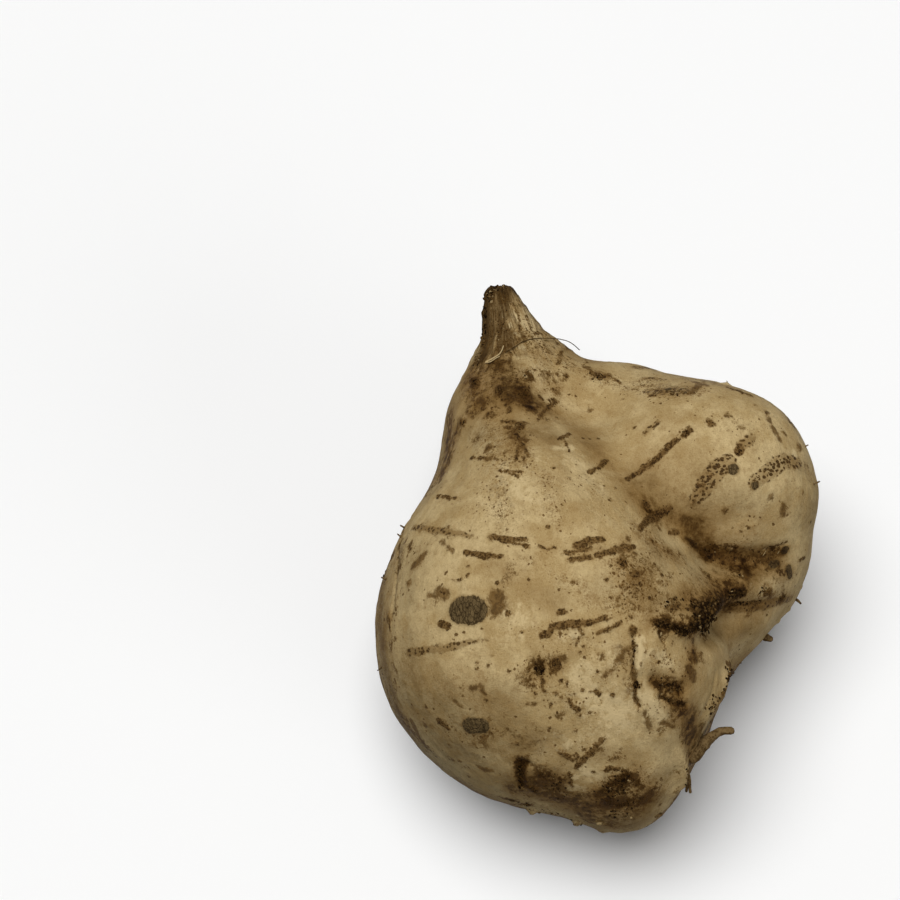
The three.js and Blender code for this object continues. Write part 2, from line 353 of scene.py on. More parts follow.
# crisp dark corky streaks and spots, each a list of (x, y, radius)
SCARS = [
    # left body
    [(470, 458, 1.2), (483, 457.6, 1.4), (496, 459, 1)], [(499, 471, 1), (522, 471, 1)], [(508, 471, 0.9), (518, 477, 0.9)],
    [(437, 495, 1.6), (455, 498, 1.7)], [(490.5, 537.5, 2.4), (508, 539, 2.6), (525, 541, 2)],
    [(503, 541, 1.4), (528, 546.5, 1.8)], [(466, 552, 3), (482, 555, 2.6), (500, 557, 1.8)], [(469, 566, 1.9)], [(468, 575, 1.6)],
    [(449, 527, 1.4)], [(476, 538, 1.2)], [(497.5, 583, 1.3)], [(453, 580, 0.8), (462, 580, 0.8)], [(447, 450, 1.5), (446, 454, 1.2)],
    [(507, 613, 3)], [(441, 624, 3.6), (447, 626, 4)], [(408, 583, 3)], [(461.5, 422, 2.8)], [(459, 418, 0.9), (464, 426, 0.9)],
    [(448, 445, 1.8), (448, 451, 1.6)],
    # centre
    [(591, 470, 2.4), (608, 460, 1.5)], [(628, 477.5, 2.2), (645.6, 467, 2.7), (660, 455, 2.8), (676, 440, 2.5)],
    [(683.5, 435.5, 2.8), (690, 429.8, 3.2)], [(646, 501.4, 2.5), (648, 505, 2.5)],
    [(640.5, 527, 2.6), (647, 521, 3.6), (656, 515.6, 4), (664, 512, 3.2), (671.5, 508, 2.2)], [(642, 521.5, 1.2), (652, 513.6, 1), (660, 509.4, 0.9)], [(670, 532.5, 2.6), (677, 532.5, 2.4)],
    [(575, 546, 2.8), (587.6, 540.5, 3.4), (602, 539.5, 3)], [(563, 553.5, 1.2), (591, 548.4, 1.3)],
    [(570, 560, 2), (589.5, 556.7, 2.3)], [(596.5, 555.5, 2.4), (611, 551, 2.8), (615, 548, 2)], [(624, 546, 2.8), (629, 547, 2.6)],
    [(634, 553.5, 1.3), (637, 554.5, 1)], [(539, 546, 0.9), (547.5, 549, 1.1), (556, 548, 0.9)], [(573, 582, 1.7)], [(547.4, 526.7, 1.8)],
    [(554, 467.6, 1.4), (557, 467, 1.2)], [(558.5, 613, 2.6), (564, 611, 2.6)],
    [(541.7, 635, 3), (549, 633.5, 3), (552, 627, 3), (565.7, 624.8, 3.9), (578, 623.8, 4.3), (590, 622.6, 2.6), (605.5, 618, 2.6)],
    [(579.5, 627, 1.8), (582, 634.5, 1.4)], [(597.7, 633, 1.6), (608, 629, 2.1), (619.2, 624.2, 1.8)],
    [(616, 486, 1)], [(611, 497, 1.1)], [(627, 501, 1)], [(570, 477, 1)], [(534, 563, 1.1)], [(566, 443, 0.8), (570, 450, 0.8)],
    [(523, 444, 1.1), (528, 454, 1.1)], [(669.8, 610.8, 1.6), (674, 606.5, 2), (679.6, 603.9, 1.5)],
    [(633.5, 630, 3.2)], [(630.8, 616.8, 1.7)], [(679, 609, 0.7), (690, 609.4, 0.8)], [(620.5, 563.5, 1), (622.5, 567.5, 1.2), (626, 566.5, 1)],
    [(623.6, 563, 3.6)], [(635.4, 574.6, 2.8)], [(652, 541, 2.2)], [(628, 550, 1.4), (634, 546, 1.6)], [(640, 584, 1.6)], [(621, 587, 1.4)], [(606, 580, 1.2)], [(617, 600, 1.3)], [(650, 598, 1.4)], [(661, 575, 1.4)],
    # shoulder and neck foot
    [(519, 391, 3.6), (520, 400, 3.4)], [(524, 389, 4), (524, 402, 3.8)], [(528, 391, 3), (528.6, 399, 3)], [(513, 398, 1.6), (506, 400.6, 2), (502, 399.4, 1.4)], [(473, 378, 2.4), (473.6, 387, 2.6)], [(477, 379, 2), (477.6, 386, 2)], [(499.4, 386, 2), (498.6, 395, 1.8)], [(510, 408, 1.4), (510, 413, 1.6)], [(549, 400, 1.6), (555, 399, 1.4)], [(472, 390, 1.2), (473, 394.6, 1.2)],
    [(475, 382.4, 2.4)], [(472.7, 391.8, 1.8)], [(498.6, 390, 2)], [(509.3, 410.5, 1.7)], [(503, 422.2, 1), (509, 422, 1.5), (516, 423, 1.2), (525, 422.2, 1.5)], [(505, 427.6, 1.5), (509, 428, 1.3)],
     [(506.6, 427, 1.7)], [(508, 433.3, 1.2)], [(513.8, 434.6, 1.7)], [(512.9, 429.3, 1), (519, 439, 1.2), (528, 456, 0.9)],
    [(518, 447, 0.8), (515.5, 460.5, 0.7)], [(523.6, 457, 0.9), (524, 462, 1.1)], [(557.5, 401.6, 2), (551, 405.5, 2), (545, 410.5, 1.5), (537, 421, 0.8)],
    [(494.5, 362.3, 1.7), (501, 362.5, 1.8)], [(531, 367, 1.2), (535, 369.5, 1.2)], [(561, 352, 1.6), (558, 364.5, 1.8)], [(561, 353, 1), (572, 351, 0.7)],
    [(565, 357, 0.7), (576, 362, 0.6)], [(584.4, 359.6, 0.8), (587, 364.6, 0.9), (582, 368, 0.7)], [(548, 373.7, 2.6)], [(558, 374.5, 2.2)], [(566, 376, 3)],
    [(502, 361, 1.6), (506, 361.5, 1.6)], [(481, 374.5, 1.6)], [(476, 382, 1.3)], [(505.6, 342, 2)], [(519, 338, 2)], [(503, 325, 1.8)],
    [(511.5, 295, 1), (516.4, 300.7, 1.2), (521.4, 305.7, 1)], [(523, 301.5, 0.8), (527, 302, 0.7)], [(534.7, 333, 1), (540.5, 334.7, 1)],
    [(503.6, 300.7, 1.5)], [(518, 300, 0.6), (525, 318, 0.8), (531, 333, 0.5)], [(526, 306, 0.5), (533, 324, 0.7), (538, 336, 0.5)], [(512, 302, 0.5), (518, 316, 0.7), (521, 331, 0.5)],
    [(512, 333, 1.6)], [(498, 350, 1.8)], [(502, 322, 1), (505, 330, 1.6)], [(518, 342, 1.7)], [(524, 336, 1.5), (526, 339, 1)], [(526, 325, 1.2)], [(507, 341, 1.3)], [(530, 337.6, 0.9), (537, 334, 1.1), (544.5, 336.6, 1)], [(501, 366, 2), (503, 371, 1.4)], [(490, 362, 1.2), (500, 364, 1.6)], [(484, 392, 1.2)], [(480, 371, 1)], [(493, 377, 1.2)], [(509, 386, 1)], [(540, 396, 1.8), (543, 400, 1)], [(553, 389, 1.6), (558, 392, 1.2)], [(466, 401, 1.2)], [(496, 415, 1)], [(484, 418, 0.9)], [(509, 352, 1.5), (512, 354, 1.2)], [(545, 333, 2), (547, 335, 1.6)], [(484.5, 303, 1.2), (484, 318, 1.6), (483.6, 331, 1.4), (483, 345, 1.8)], [(517, 344, 1.4)], [(500, 334, 1.2)], [(492, 318, 0.8), (491, 332, 1), (489, 345, 0.7)],
    [(497, 388, 2.2), (499, 396, 2.6)], [(528.5, 372.5, 2), (532, 377, 1.8), (527, 380, 1.6)], [(474, 380, 3.4), (476, 386, 3)],  [(520, 428.6, 2.6), (523, 426, 2)], [(488, 448, 2.6)],
    # top ridge and right lobe
    [(585.4, 369.3, 2), (593.4, 375.5, 2.4), (599.6, 380.5, 2)], [(608.6, 377.3, 1.1), (621, 384.5, 1.2)], [(632.7, 389.4, 1.3), (638, 389.8, 1.3)],
    [(650, 395.3, 1.7), (655, 396, 1.6)], [(690, 392.5, 1.5), (693, 392.5, 1.4)], [(560.4, 439, 1.7), (569.3, 433.6, 1.8)], [(564.8, 440.7, 1), (570, 450.5, 1)],
    [(634.5, 426.9, 1.4)], [(597.9, 438, 1.2)], [(557, 417.5, 1.2)], [(645.6, 432, 1.6)], [(729, 386, 1.6), (740, 391, 2), (751.6, 394.6, 1.6)],
    [(719.5, 397, 1.4), (722.5, 397.4, 1.3)], [(708, 421.5, 2.7), (711.5, 422.8, 2.6)], [(727.5, 429.8, 1.3)], [(731.5, 431.6, 1.2)], [(734.5, 422, 1.4), (737.5, 422.3, 1.2)],
    [(754.6, 404.4, 1.3), (757, 404.6, 1.1)], [(783.8, 432.5, 2)],
    [(790.9, 437.9, 1.8)], [(798, 447.7, 2.4)], [(739.3, 451, 5)], [(711.4, 474.5, 2)], [(703, 485, 2.1)], [(699.8, 492.3, 1.8)], [(694.5, 502, 2)],
    [(801.6, 490.5, 1.3), (801.6, 493.5, 1.3)], [(793.6, 479, 1.1)], [(724.8, 509.5, 2.4)], [(741, 524, 1.5)], [(747.7, 526.2, 2)], [(738.4, 530.8, 1.3)], [(802, 517.2, 1.4)],
    # below the right lobe
    [(799, 560, 1.5), (804, 557, 1.2)], [(727.2, 604.2, 1.4), (745, 602.5, 1.8), (760.5, 601, 1.3)], [(763.5, 593.5, 2.8), (769, 590, 2.8)],
    [(781.8, 597.6, 3.2)], [(639.3, 635.2, 1)], [(671, 643.4, 1.6)], [(644.4, 652, 1.5)], [(663.5, 659, 1)], [(667, 664, 1.1)], [(671, 668, 1.2)],
    [(703.8, 704.8, 1.3)], [(612.2, 695.9, 1.7)], [(694.5, 659, 3)], [(666, 657.5, 0.8)], [(660, 662, 0.9)], [(670, 660.5, 0.8)], [(673.5, 671.5, 0.8)],
    [(633, 634, 0.8), (632.7, 643, 0.9), (634.8, 650, 0.8), (633.2, 661, 0.6), (633, 675, 0.7), (636, 683, 1.7), (635, 691, 0.9), (636, 700, 0.8), (639, 706, 1.1)],
    # lower body
    [(518, 764.5, 3.6), (524.5, 764.5, 3.4)], [(519.5, 769, 3.6), (520.5, 778, 3.2), (523, 786, 2.6)], [(524, 787.4, 1.8), (531, 789, 1.8), (536.5, 791, 1.6)], [(537, 766.6, 1.5), (541, 766.6, 1.4)],
    [(521, 632.4, 1.4)], [(520.7, 637.2, 1)], [(579.5, 652.5, 1.1)], [(583.4, 645.8, 1.2)], [(559, 630.5, 0.9), (560, 638, 0.8)],
    [(579, 636.3, 0.9), (578, 640, 0.8), (576.2, 644.9, 0.7)], [(556, 661, 3.6), (557.2, 667, 4)], [(533.6, 685.5, 2.4)], [(535, 693.7, 1.7)], [(544.6, 682, 1.4)],
    [(544.6, 690.8, 1.8)], [(541.7, 677.4, 0.8), (542.7, 688.9, 0.7)], [(556, 693.7, 1.8)], [(561.4, 681.2, 1.6)], [(567.4, 683.5, 1.4), (567.4, 686.5, 1.4)],
    [(561.4, 698, 1.4)], [(508.7, 670.7, 1.5)], [(522.6, 681.7, 1.2)], [(597.7, 670.7, 1.7)], [(595.5, 692, 1.6), (599, 694.6, 1.8)], [(589.5, 691.5, 0.9), (592.5, 692, 0.9)],
    [(611, 695.5, 1.5), (613, 697, 1.4)], [(582.9, 690.8, 1.5)], [(569, 702.3, 1.6), (574, 706, 1.8), (577.5, 710, 2.8)], [(580, 715.7, 1.8)], [(589.6, 712.8, 1.9)],
    [(557, 713.8, 1.7)], [(550.4, 705, 0.9), (550.6, 708, 0.9)], [(549.4, 728, 1.5)], [(575.7, 731, 1.8)], [(516.9, 744.4, 1.9)], [(544.6, 740, 1.3)],
    [(437.5, 720.8, 2.4), (443, 725, 3), (448.6, 729.5, 2)], [(449, 717.2, 1.2)], [(448.6, 744.8, 1.6)], [(458.3, 761.6, 1.9)], [(425, 706.5, 1.6)], [(417, 713.7, 1.3)],
    [(483.3, 738.2, 3.6)], [(486.3, 700.4, 1.7)], [(477, 662.7, 1.5)], [(477, 668.8, 1.4)], [(488.4, 665.7, 1.1)], [(491.4, 655, 1.1)],
    [(468, 778, 1.8)], [(536, 766.4, 1.6), (542, 766.4, 1.4)], [(604, 738.8, 2.4), (596, 747, 2.6), (589.5, 753.9, 3), (582, 761, 2.8), (576, 767.3, 2.2)],
    [(583.3, 750, 2.4)], [(559.8, 752.5, 2), (566, 756, 2.2), (572, 759.5, 2.6), (578, 756.8, 2)], [(569.4, 775, 1.5), (571.3, 786.4, 1.3)],
    [(592, 771.4, 1.1), (594.6, 772, 1)], [(603, 771.5, 1.8), (610, 768, 2.2), (617, 769.5, 1.6)],
    [(387, 613, 1.2), (389, 622, 1.5), (391, 631, 1)],
]
# medium brown blotches with a soft ragged edge
BLOTS = [
    [(766.8, 411.6, 2.2), (770.4, 422.7, 2.6), (774.8, 430.7, 3), (779.7, 439.3, 2.8)], [(690, 394, 2.4), (698, 386, 2.6), (705, 379, 2.2)], [(741.6, 427.7, 3.4)], [(784.3, 432.4, 4)], [(799.3, 447.4, 4)], [(782, 511, 4.2)],
    [(773, 405, 1.4), (784, 414, 1.6), (793, 427, 1.5), (799.5, 438, 1.4)],
    [(488, 448, 5)], [(424, 553, 3.8), (419, 559, 4.8), (412, 566, 4.2)], [(408, 583, 4.4)], [(440, 592, 6), (446, 594, 6.2)], [(447, 597, 2), (429, 596, 2)],
    [(496.5, 597, 8.5), (498.5, 606, 9)], [(441, 541, 1.6), (453, 552, 1.4)], [(441, 470, 3), (441, 475, 3)], [(520, 390, 5.4), (521, 401, 5)], [(526, 391, 5.4), (527, 401, 4.6)], [(509, 400, 2.6), (503, 399.6, 2)],
    [(479, 400.7, 4)], [(475, 382.4, 4)], [(727.5, 414.6, 3.6)], [(709.6, 422, 5.5)], [(695, 381, 3.5), (703, 383.5, 4.2), (706, 385, 3)], [(725.5, 510.3, 3)],
    [(782, 505, 3.4), (783, 513, 3.6)], [(745.6, 579, 3), (748, 572, 3)], [(561.8, 658.3, 4.5)], [(561.8, 716, 3.8)], [(528, 705, 1.5), (536, 705, 1.7)],
    [(770.4, 496.8, 4)], [(604, 676.4, 2.6), (612.5, 669.7, 2.8), (619, 658, 2.3), (625.5, 649, 2)], [(688, 668, 4), (693, 678, 5.5)], [(695.9, 660, 4.2)],
    [(644.9, 714, 2.4), (647, 722, 3), (650, 730, 2.2)], [(662, 722, 2.4), (673, 727, 2)], [(602, 657, 2.4)], [(479, 769, 3.4), (491, 772, 3.2)], [(472, 689, 2.6), (479, 686, 3), (484, 694, 2.4)],
    [(410.8, 722, 3), (418, 737, 4), (425, 747, 3)], [(424, 725, 3)], [(431, 727, 2.4)], [(449.6, 696.3, 1.3), (461.8, 705.5, 1.4)], [(606, 377.5, 5)],
    [(590, 412, 3)], [(628, 538, 3)], [(652, 541, 3)], [(783.8, 432.5, 3.8)], [(798, 447.7, 3.8)],
    [(622, 563, 5)], [(635, 575, 4)], [(620, 549, 4)], [(598, 795, 4.5), (610, 789, 6), (622, 780, 7), (632, 777, 6)], [(606, 806, 7), (622, 801, 7)], [(645, 800, 6), (650, 794, 5)], [(786, 409, 3)], [(686, 538.6, 1.6), (694, 545, 2.4)], [(665, 628, 3)], [(499, 386, 2.4), (497, 396, 3)], [(503, 400, 2), (510, 402, 2.4), (517, 399, 2)], [(475, 380, 4), (476, 386, 3.4)], [(542, 372, 1.6), (546, 370.4, 1.6), (550, 373, 1.8), (547, 377.4, 1.6), (543, 376, 1.4)],
    [(556, 372, 1.6), (563, 371.4, 1.8), (568, 374.6, 2.4), (566, 379, 2), (560, 380, 1.6)], [(556.6, 391.6, 3)], [(483.6, 404, 3.2), (480, 398, 2.6)], [(633, 631, 4.4)], [(528, 372, 2.4), (532, 379, 2.6)], [(509, 411, 2.4)],
]
# flat grey scabs
SCABS = [[(462.3, 610, 14.3), (473.7, 610, 14.3)], [(470.8, 725.4, 9.2), (480.6, 725.4, 9.2)], [(784.6, 550, 4.6)], [(787.5, 569, 4.6), (790, 575.5, 4)],
         [(772, 565, 4), (777, 563.5, 3.6)], [(733.5, 469, 5.8)], [(754, 485.5, 3.8)], [(668.4, 389.4, 3.6)], [(684.5, 393.4, 2.6)], [(754.7, 485, 3.2)], [(808.8, 521.8, 2.4)],
         [(634.6, 691, 1.8), (636, 700, 2.3)]]
# net-like corky patches
COMBS = [[(650, 391, 6.5), (668, 391, 8), (686, 393, 6)], [(598, 376, 4.5), (606, 379.5, 4.5)], [(729, 461, 7), (719, 468, 9.5), (710, 479, 9.5), (703, 489, 8), (695, 501, 6)],
         [(752.5, 483.4, 6), (768, 472, 8), (784, 461, 8), (798, 463, 6)], [(741, 446, 4.6), (751, 438, 4.4)], [(644, 378, 2.5), (663, 378, 2.5)], [(645, 432, 3), (657, 422, 3)],
         [(443, 593, 4)]]
# bands of close brown dots
BANDS = [[(414, 527, 4.2), (430, 529, 4), (450, 532, 3.2), (473, 536, 2.3)], [(410.5, 652, 4.4), (424, 650.5, 4.2), (440, 649, 3.6), (456, 645.6, 3.9), (470, 641.8, 2.2), (487, 639, 2)],
         [(725, 609, 4.6), (745, 607, 5), (766, 604, 5), (792, 598, 4)]]
# brown veils, partly real stains and partly painted shade in the valley, the folds, along the left edge and on the
# underside: (stroke, amount)
STAIN_AND_SHADE_VEILS = [
    # shoulder below the neck
    ([(497, 355, 8), (500, 366, 7)], 0.5), ([(490, 395, 9)], 0.2), 
    ([(655, 552, 10), (684, 556, 9)], 0.3), ([(668, 574, 9)], 0.2), ([(712, 590, 8), (732, 586, 8)], 0.35), 
    ([(640, 630, 6)], 0.3), ([(655, 660, 8), (672, 655, 7)], 0.2), ([(640, 772, 9)], 0.35), ([(530, 792, 11), (552, 795, 11)], 0.45), ([(628, 815, 9), (610, 828, 8)], 0.3),
    ([(573, 632, 7)], 0.4), 
    ([(468, 374, 8), (477, 388, 8)], 0.4), ([(492, 370, 9), (496, 390, 9)], 0.35), ([(527, 396, 9)], 0.3), ([(449, 415, 8), (447, 445, 8)], 0.85), ([(520, 438, 9)], 0.2),
     ([(770, 570, 9), (790, 573, 8)], 0.45), ([(690, 575, 9), (710, 572, 8)], 0.3),
    ([(692, 640, 7), (692, 655, 7)], 0.55), ([(650, 793, 8), (612, 812, 8)], 0.35), ([(651, 565, 8)], 0.3), ([(510, 573, 7)], 0.25),
    ([(497, 306, 8), (501, 325, 9), (503, 345, 9)], 0.42), ([(482, 372, 12), (474, 400, 12)], 0.4), ([(496, 362, 9), (503, 380, 9)], 0.3), ([(470, 412, 11), (500, 410, 12), (518, 404, 12)], 0.35), ([(519, 428, 9)], 0.25),
    ([(541, 410, 12)], 0.36), ([(457, 430, 9), (450, 456, 8)], 0.7), ([(449, 402, 8)], 0.6), ([(475, 440, 8)], 0.4), ([(556, 393, 8)], 0.25),
    ([(528, 378, 8), (552, 378, 8)], 0.2), ([(441, 475, 7)], 0.5), 
    # painted shade in the valley and on the lobe's inner flank
    ([(647, 512, 9), (655, 531, 9)], 0.42),
     ([(627, 548, 7)], 0.65), ([(600, 549, 7)], 0.45), ([(585, 550, 8)], 0.4),
    ([(636, 568, 10), (632, 592, 10)], 0.16), ([(664, 606, 9), (650, 614, 8)], 0.3),
    # folds: painted shade with soil staining
    ([(705, 556, 9), (740, 560, 9), (774, 560, 9)], 0.4), ([(711, 580, 8), (750, 580, 8)], 0.4), ([(772, 601, 8), (750, 605, 8)], 0.4),
    # right lobe and top ridge
    ([(655, 376, 7), (690, 379, 7)], 0.2), ([(560, 385, 7)], 0.3),
    ([(790, 463, 7), (807, 471, 8)], 0.4), ([(790, 421, 8), (806, 446, 7)], 0.3), ([(709.6, 422, 7)], 0.22),
    ([(783, 508, 8)], 0.28), 
    # left body: stains, with painted shade along the left edge and over the lower left
    ([(430, 530, 6), (455, 534, 5)], 0.35), ([(411, 546, 7)], 0.38), ([(418, 562, 8)], 0.3), ([(497, 605, 13)], 0.34), ([(437, 592, 9)], 0.28), ([(443, 625, 7)], 0.25), ([(530, 556, 7)], 0.2), ([(461.5, 422, 6)], 0.3),
    ([(395, 598, 9), (391, 640, 9), (396, 690, 9)], 0.3), ([(440, 715, 12)], 0.2), ([(470, 690, 10), (481, 705, 10)], 0.26), ([(500, 731, 12), (521, 746, 12)], 0.3), ([(404, 722, 8), (424, 748, 8)], 0.4),
    ([(470, 744, 11)], 0.25), ([(540, 741, 12), (561, 750, 10)], 0.3), ([(405, 540, 6), (396, 575, 6)], 0.35), ([(455, 760, 9)], 0.3), 
    
    # middle of the body
    ([(527, 676, 7)], 0.5), ([(540, 671, 10)], 0.3), ([(557, 664, 9)], 0.35), ([(631, 650, 6), (634, 690, 6)], 0.4), ([(578, 712, 9)], 0.22), ([(606, 672, 7), (619, 655, 6)], 0.3), 
    # right foot
    ([(667, 702, 9), (684, 716, 10), (693, 737, 9)], 0.45),
    ([(680, 713, 8)], 0.3), ([(690, 727, 8), (694, 755, 10)], 0.55), ([(655, 690, 6)], 0.3), ([(671, 727, 8)], 0.2), ([(648, 716, 7), (655, 735, 7)], 0.15), ([(725, 680, 7), (713, 704, 6)], 0.6),
    ([(668, 640, 8)], 0.2), ([(700, 655, 8)], 0.25),
    # underside: brown staining and painted shade
    ([(545, 789, 10), (575, 803, 10), (603, 813, 10)], 0.4),
    ([(538, 780, 11), (550, 782, 12)], 0.6), ([(560, 790, 11)], 0.55), ([(580, 801, 10)], 0.3), ([(606, 806, 12), (631, 802, 12)], 0.5), ([(641, 784, 9)], 0.3), ([(600, 755, 8)], 0.4), ([(624, 756, 8)], 0.25),
    ([(510, 792, 9), (520, 802, 8)], 0.4), ([(655, 805, 10)], 0.2), ([(668, 775, 10)], 0.3), ([(590, 818, 12)], 0.6), ([(566, 757, 7)], 0.3),
]
# mostly painted shade: smooth brown darkening without a ragged edge in the hollows and folds, in the pit, along the
# left edge and on the underside, with some real brown stains: (stroke, amount)
PAINTED_SHADE_AND_STAIN = [
    # brown hollow running from the neck's foot down into the valley: brown stain with painted shade in the hollow
    ([(552, 412, 12), (572, 424, 13), (592, 444, 13), (606, 462, 11)], 0.5), ([(622, 478, 9), (634, 492, 10), (646, 506, 10)], 0.5),
    # painted shade on the lobe's inner flank, then in the deep end of the valley
    ([(650, 511, 9), (670, 518, 10), (688, 527, 10)], 0.45), ([(689, 524, 8), (700, 533, 10), (709, 541, 8)], 0.85),
    ([(640, 462, 13), (668, 456, 14), (696, 453, 12)], 0.28), ([(650, 486, 13), (680, 481, 14), (706, 470, 12)], 0.28), ([(716, 512, 13), (738, 519, 13), (758, 522, 10)], 0.36),
    ([(643, 499, 13), (669, 511, 15), (698, 525, 14)], 0.46),
    # painted shadow in the fold below the lobe's overhanging edge, with some soil staining
    ([(684, 538, 5), (694, 547, 6), (704, 554, 6)], 0.75), ([(706, 552, 7), (724, 556, 10), (744, 559, 10), (762, 558, 8), (783, 552, 6)], 0.92), ([(742, 566, 7), (751, 575, 8)], 0.55),
    ([(771, 559, 7), (786, 572, 7)], 0.45),
    ([(711, 554, 11), (734, 562, 12), (753, 567, 11)], 0.4),
    # the soil-filled lower fold, its left tail and its right streaks: soil stain with painted shade in the fold
    ([(743, 589, 7), (723, 594, 9), (706, 603, 11), (697, 617, 11)], 0.9), ([(652, 622, 5), (667, 626, 7), (689, 628, 7)], 0.7), ([(688, 590, 9), (683, 606, 9)], 0.5),
    ([(720, 607, 6), (744, 605, 6), (768, 602, 6), (788, 597, 6)], 0.45),
    ([(687, 597, 11), (706, 587, 11), (725, 581, 9)], 0.38), ([(703, 635, 12), (727, 628, 12), (757, 619, 10)], 0.22),
    # the speckled ground left of the folds
    ([(622, 566, 11), (641, 577, 13), (637, 597, 12), (659, 594, 10)], 0.3), ([(642, 534, 9), (656, 547, 10), (673, 561, 10)], 0.34),
    # shoulder below the neck, drawn down the slope
    ([(468, 372, 8), (474, 387, 9), (478, 403, 9)], 0.6), ([(494, 360, 9), (498, 376, 10), (504, 391, 9)], 0.6), ([(511, 366, 8), (515, 379, 8)], 0.5),
    ([(522, 386, 9), (524, 397, 11), (526, 407, 8)], 0.9), ([(507, 391, 8), (508, 404, 8)], 0.6), ([(512, 419, 8), (516, 436, 9), (519, 453, 8)], 0.5),
    ([(536, 404, 8), (541, 421, 10), (547, 439, 10)], 0.4), ([(458, 404, 8), (464, 379, 8)], 0.4), ([(487, 404, 10), (491, 420, 10)], 0.4), ([(540, 346, 9), (545, 358, 9)], 0.3), ([(537, 373, 7), (545, 391, 7)], 0.32),
    # painted shade along the left edge and over the dull lower left
    ([(450, 424, 6), (445, 451, 6), (440, 474, 5)], 0.35), ([(400, 535, 6), (394, 561, 6), (387, 601, 6), (384, 642, 6)], 0.35), ([(388, 676, 8), (398, 713, 8), (413, 741, 8)], 0.25),
    ([(408, 664, 14), (441, 679, 15), (474, 689, 15), (506, 703, 14)], 0.24), ([(430, 717, 14), (463, 737, 14)], 0.14),
    # faint stain down the middle
    ([(546, 482, 11), (561, 499, 12), (584, 512, 11)], 0.14),
    # slanting stain right of the grey patch
    ([(498, 566, 8), (517, 579, 9), (536, 593, 9), (553, 602, 8)], 0.3),
    # round the two dark spots in the middle
    ([(538, 662, 8), (540, 674, 9)], 0.45), ([(556, 664, 6)], 0.3),
    # peeled pit with painted shade inside it, and the skin on its right
    ([(654, 682, 6), (668, 687, 7), (680, 690, 6)], 0.9), ([(694, 653, 7), (689, 668, 8), (684, 679, 8)], 0.6),
    # right foot: a smooth dark zone, partly painted shade
    ([(677, 701, 8), (688, 715, 10), (692, 738, 10)], 0.75), ([(692, 756, 6), (690, 783, 6)], 0.4),
    # black blob, grey patch, and a band along the underside that is partly painted shade
    ([(520, 763, 6), (521, 776, 5), (525, 787, 4)], 1.0), ([(507, 777, 8), (512, 792, 7)], 0.35), ([(536, 781, 9), (553, 777, 10), (563, 783, 8)], 0.62),
    ([(535, 793, 10), (560, 801, 11), (588, 808, 11)], 0.6),
    # dirty patches at the bottom right
    ([(596, 801, 12), (619, 799, 14), (645, 793, 12)], 0.42),
    ([(603, 792, 8), (617, 784, 9), (635, 774, 8)], 0.55), ([(598, 797, 8), (613, 804, 10), (633, 808, 9)], 0.4), ([(652, 781, 7), (651, 799, 8)], 0.45),
]
# loose dark soil in the folds and pits: (stroke, amount)
SOILS = [
    ([(704, 549, 3)], 0.25), ([(688, 540, 2.4), (695, 545.5, 2.4)], 0.35),
    ([(720, 546, 1.6), (734, 546.5, 1.8)], 0.55), ([(766, 549, 1.6), (776, 547.5, 1.8), (786, 542, 1.6)], 0.55), ([(740, 572, 5)], 0.2),
    ([(694, 606, 6), (706, 606.5, 7), (716, 601, 5)], 0.95), ([(705, 611, 6)], 0.85), ([(729, 592, 5), (720, 596, 6)], 0.5), ([(700, 618, 8), (703, 629, 7)], 0.85), ([(710, 618, 6)], 0.6), ([(656, 623, 3.5), (668, 627, 4), (680, 630, 6), (690, 627, 6)], 0.9), ([(676, 616, 5)], 0.4),
    ([(733, 594, 3), (742, 591.5, 4)], 0.95), ([(722, 606, 5), (738, 604, 3)], 0.5), ([(727, 600, 5)], 0.4), ([(782, 597, 4)], 0.55), ([(765, 592, 5)], 0.5), ([(668, 603, 3.4), (679, 599, 3)], 0.2),
    ([(657, 682, 4.6), (667.9, 686, 6), (678, 689.5, 5)], 0.45), ([(661, 697, 2.4), (671.4, 702, 2.6), (685.7, 704.6, 2)], 0.72), ([(662, 690, 4), (672, 694, 4)], 0.25),
    ([(637.2, 684.7, 2.6)], 0.7), ([(639.3, 706, 1.6)], 0.7), ([(633.5, 631, 3)], 0.6),
    ([(659.5, 632, 1.8), (663.5, 642.3, 1.5)], 0.7), ([(521, 765, 5), (519.5, 776, 3.6), (522, 787, 3)], 1.0), ([(526, 765, 3.4)], 0.7), ([(528, 786, 2.4), (536.9, 791.2, 2)], 0.7),
    ([(545, 776, 8), (556, 778, 7)], 0.4), ([(550, 796, 10)], 0.3), ([(606, 806, 9), (622, 806, 10), (642, 800, 8)], 0.45), ([(538.9, 667, 6.5), (538.9, 676, 6)], 0.72), ([(628, 776, 8), (634, 782, 7)], 0.6), ([(604, 792, 9), (616, 786, 9)], 0.5),
    ([(507, 800, 4), (528, 805, 4)], 0.75), ([(728, 672, 5), (731, 681, 4.6)], 0.75), ([(645, 800, 7)], 0.25), ([(610, 826, 8)], 0.5), ([(655, 788, 7)], 0.4),
    ([(556.6, 666, 5.5)], 0.45),  ([(523, 390, 4), (523, 401, 4)], 0.5), ([(503.6, 300, 4), (490, 296, 4)], 0.45),
    ([(474, 382, 5)], 0.95), ([(528, 372, 4), (531, 379, 4)], 0.8), ([(498.6, 389, 2.6)], 0.6), ([(521, 427, 4)], 0.5), ([(510, 378, 7)], 0.2), ([(470, 400, 6)], 0.2), ([(495, 366, 5), (505, 362, 4)], 0.55), ([(545, 376, 4), (562, 376, 4)], 0.2), ([(461.5, 422, 4)], 0.7), 
]
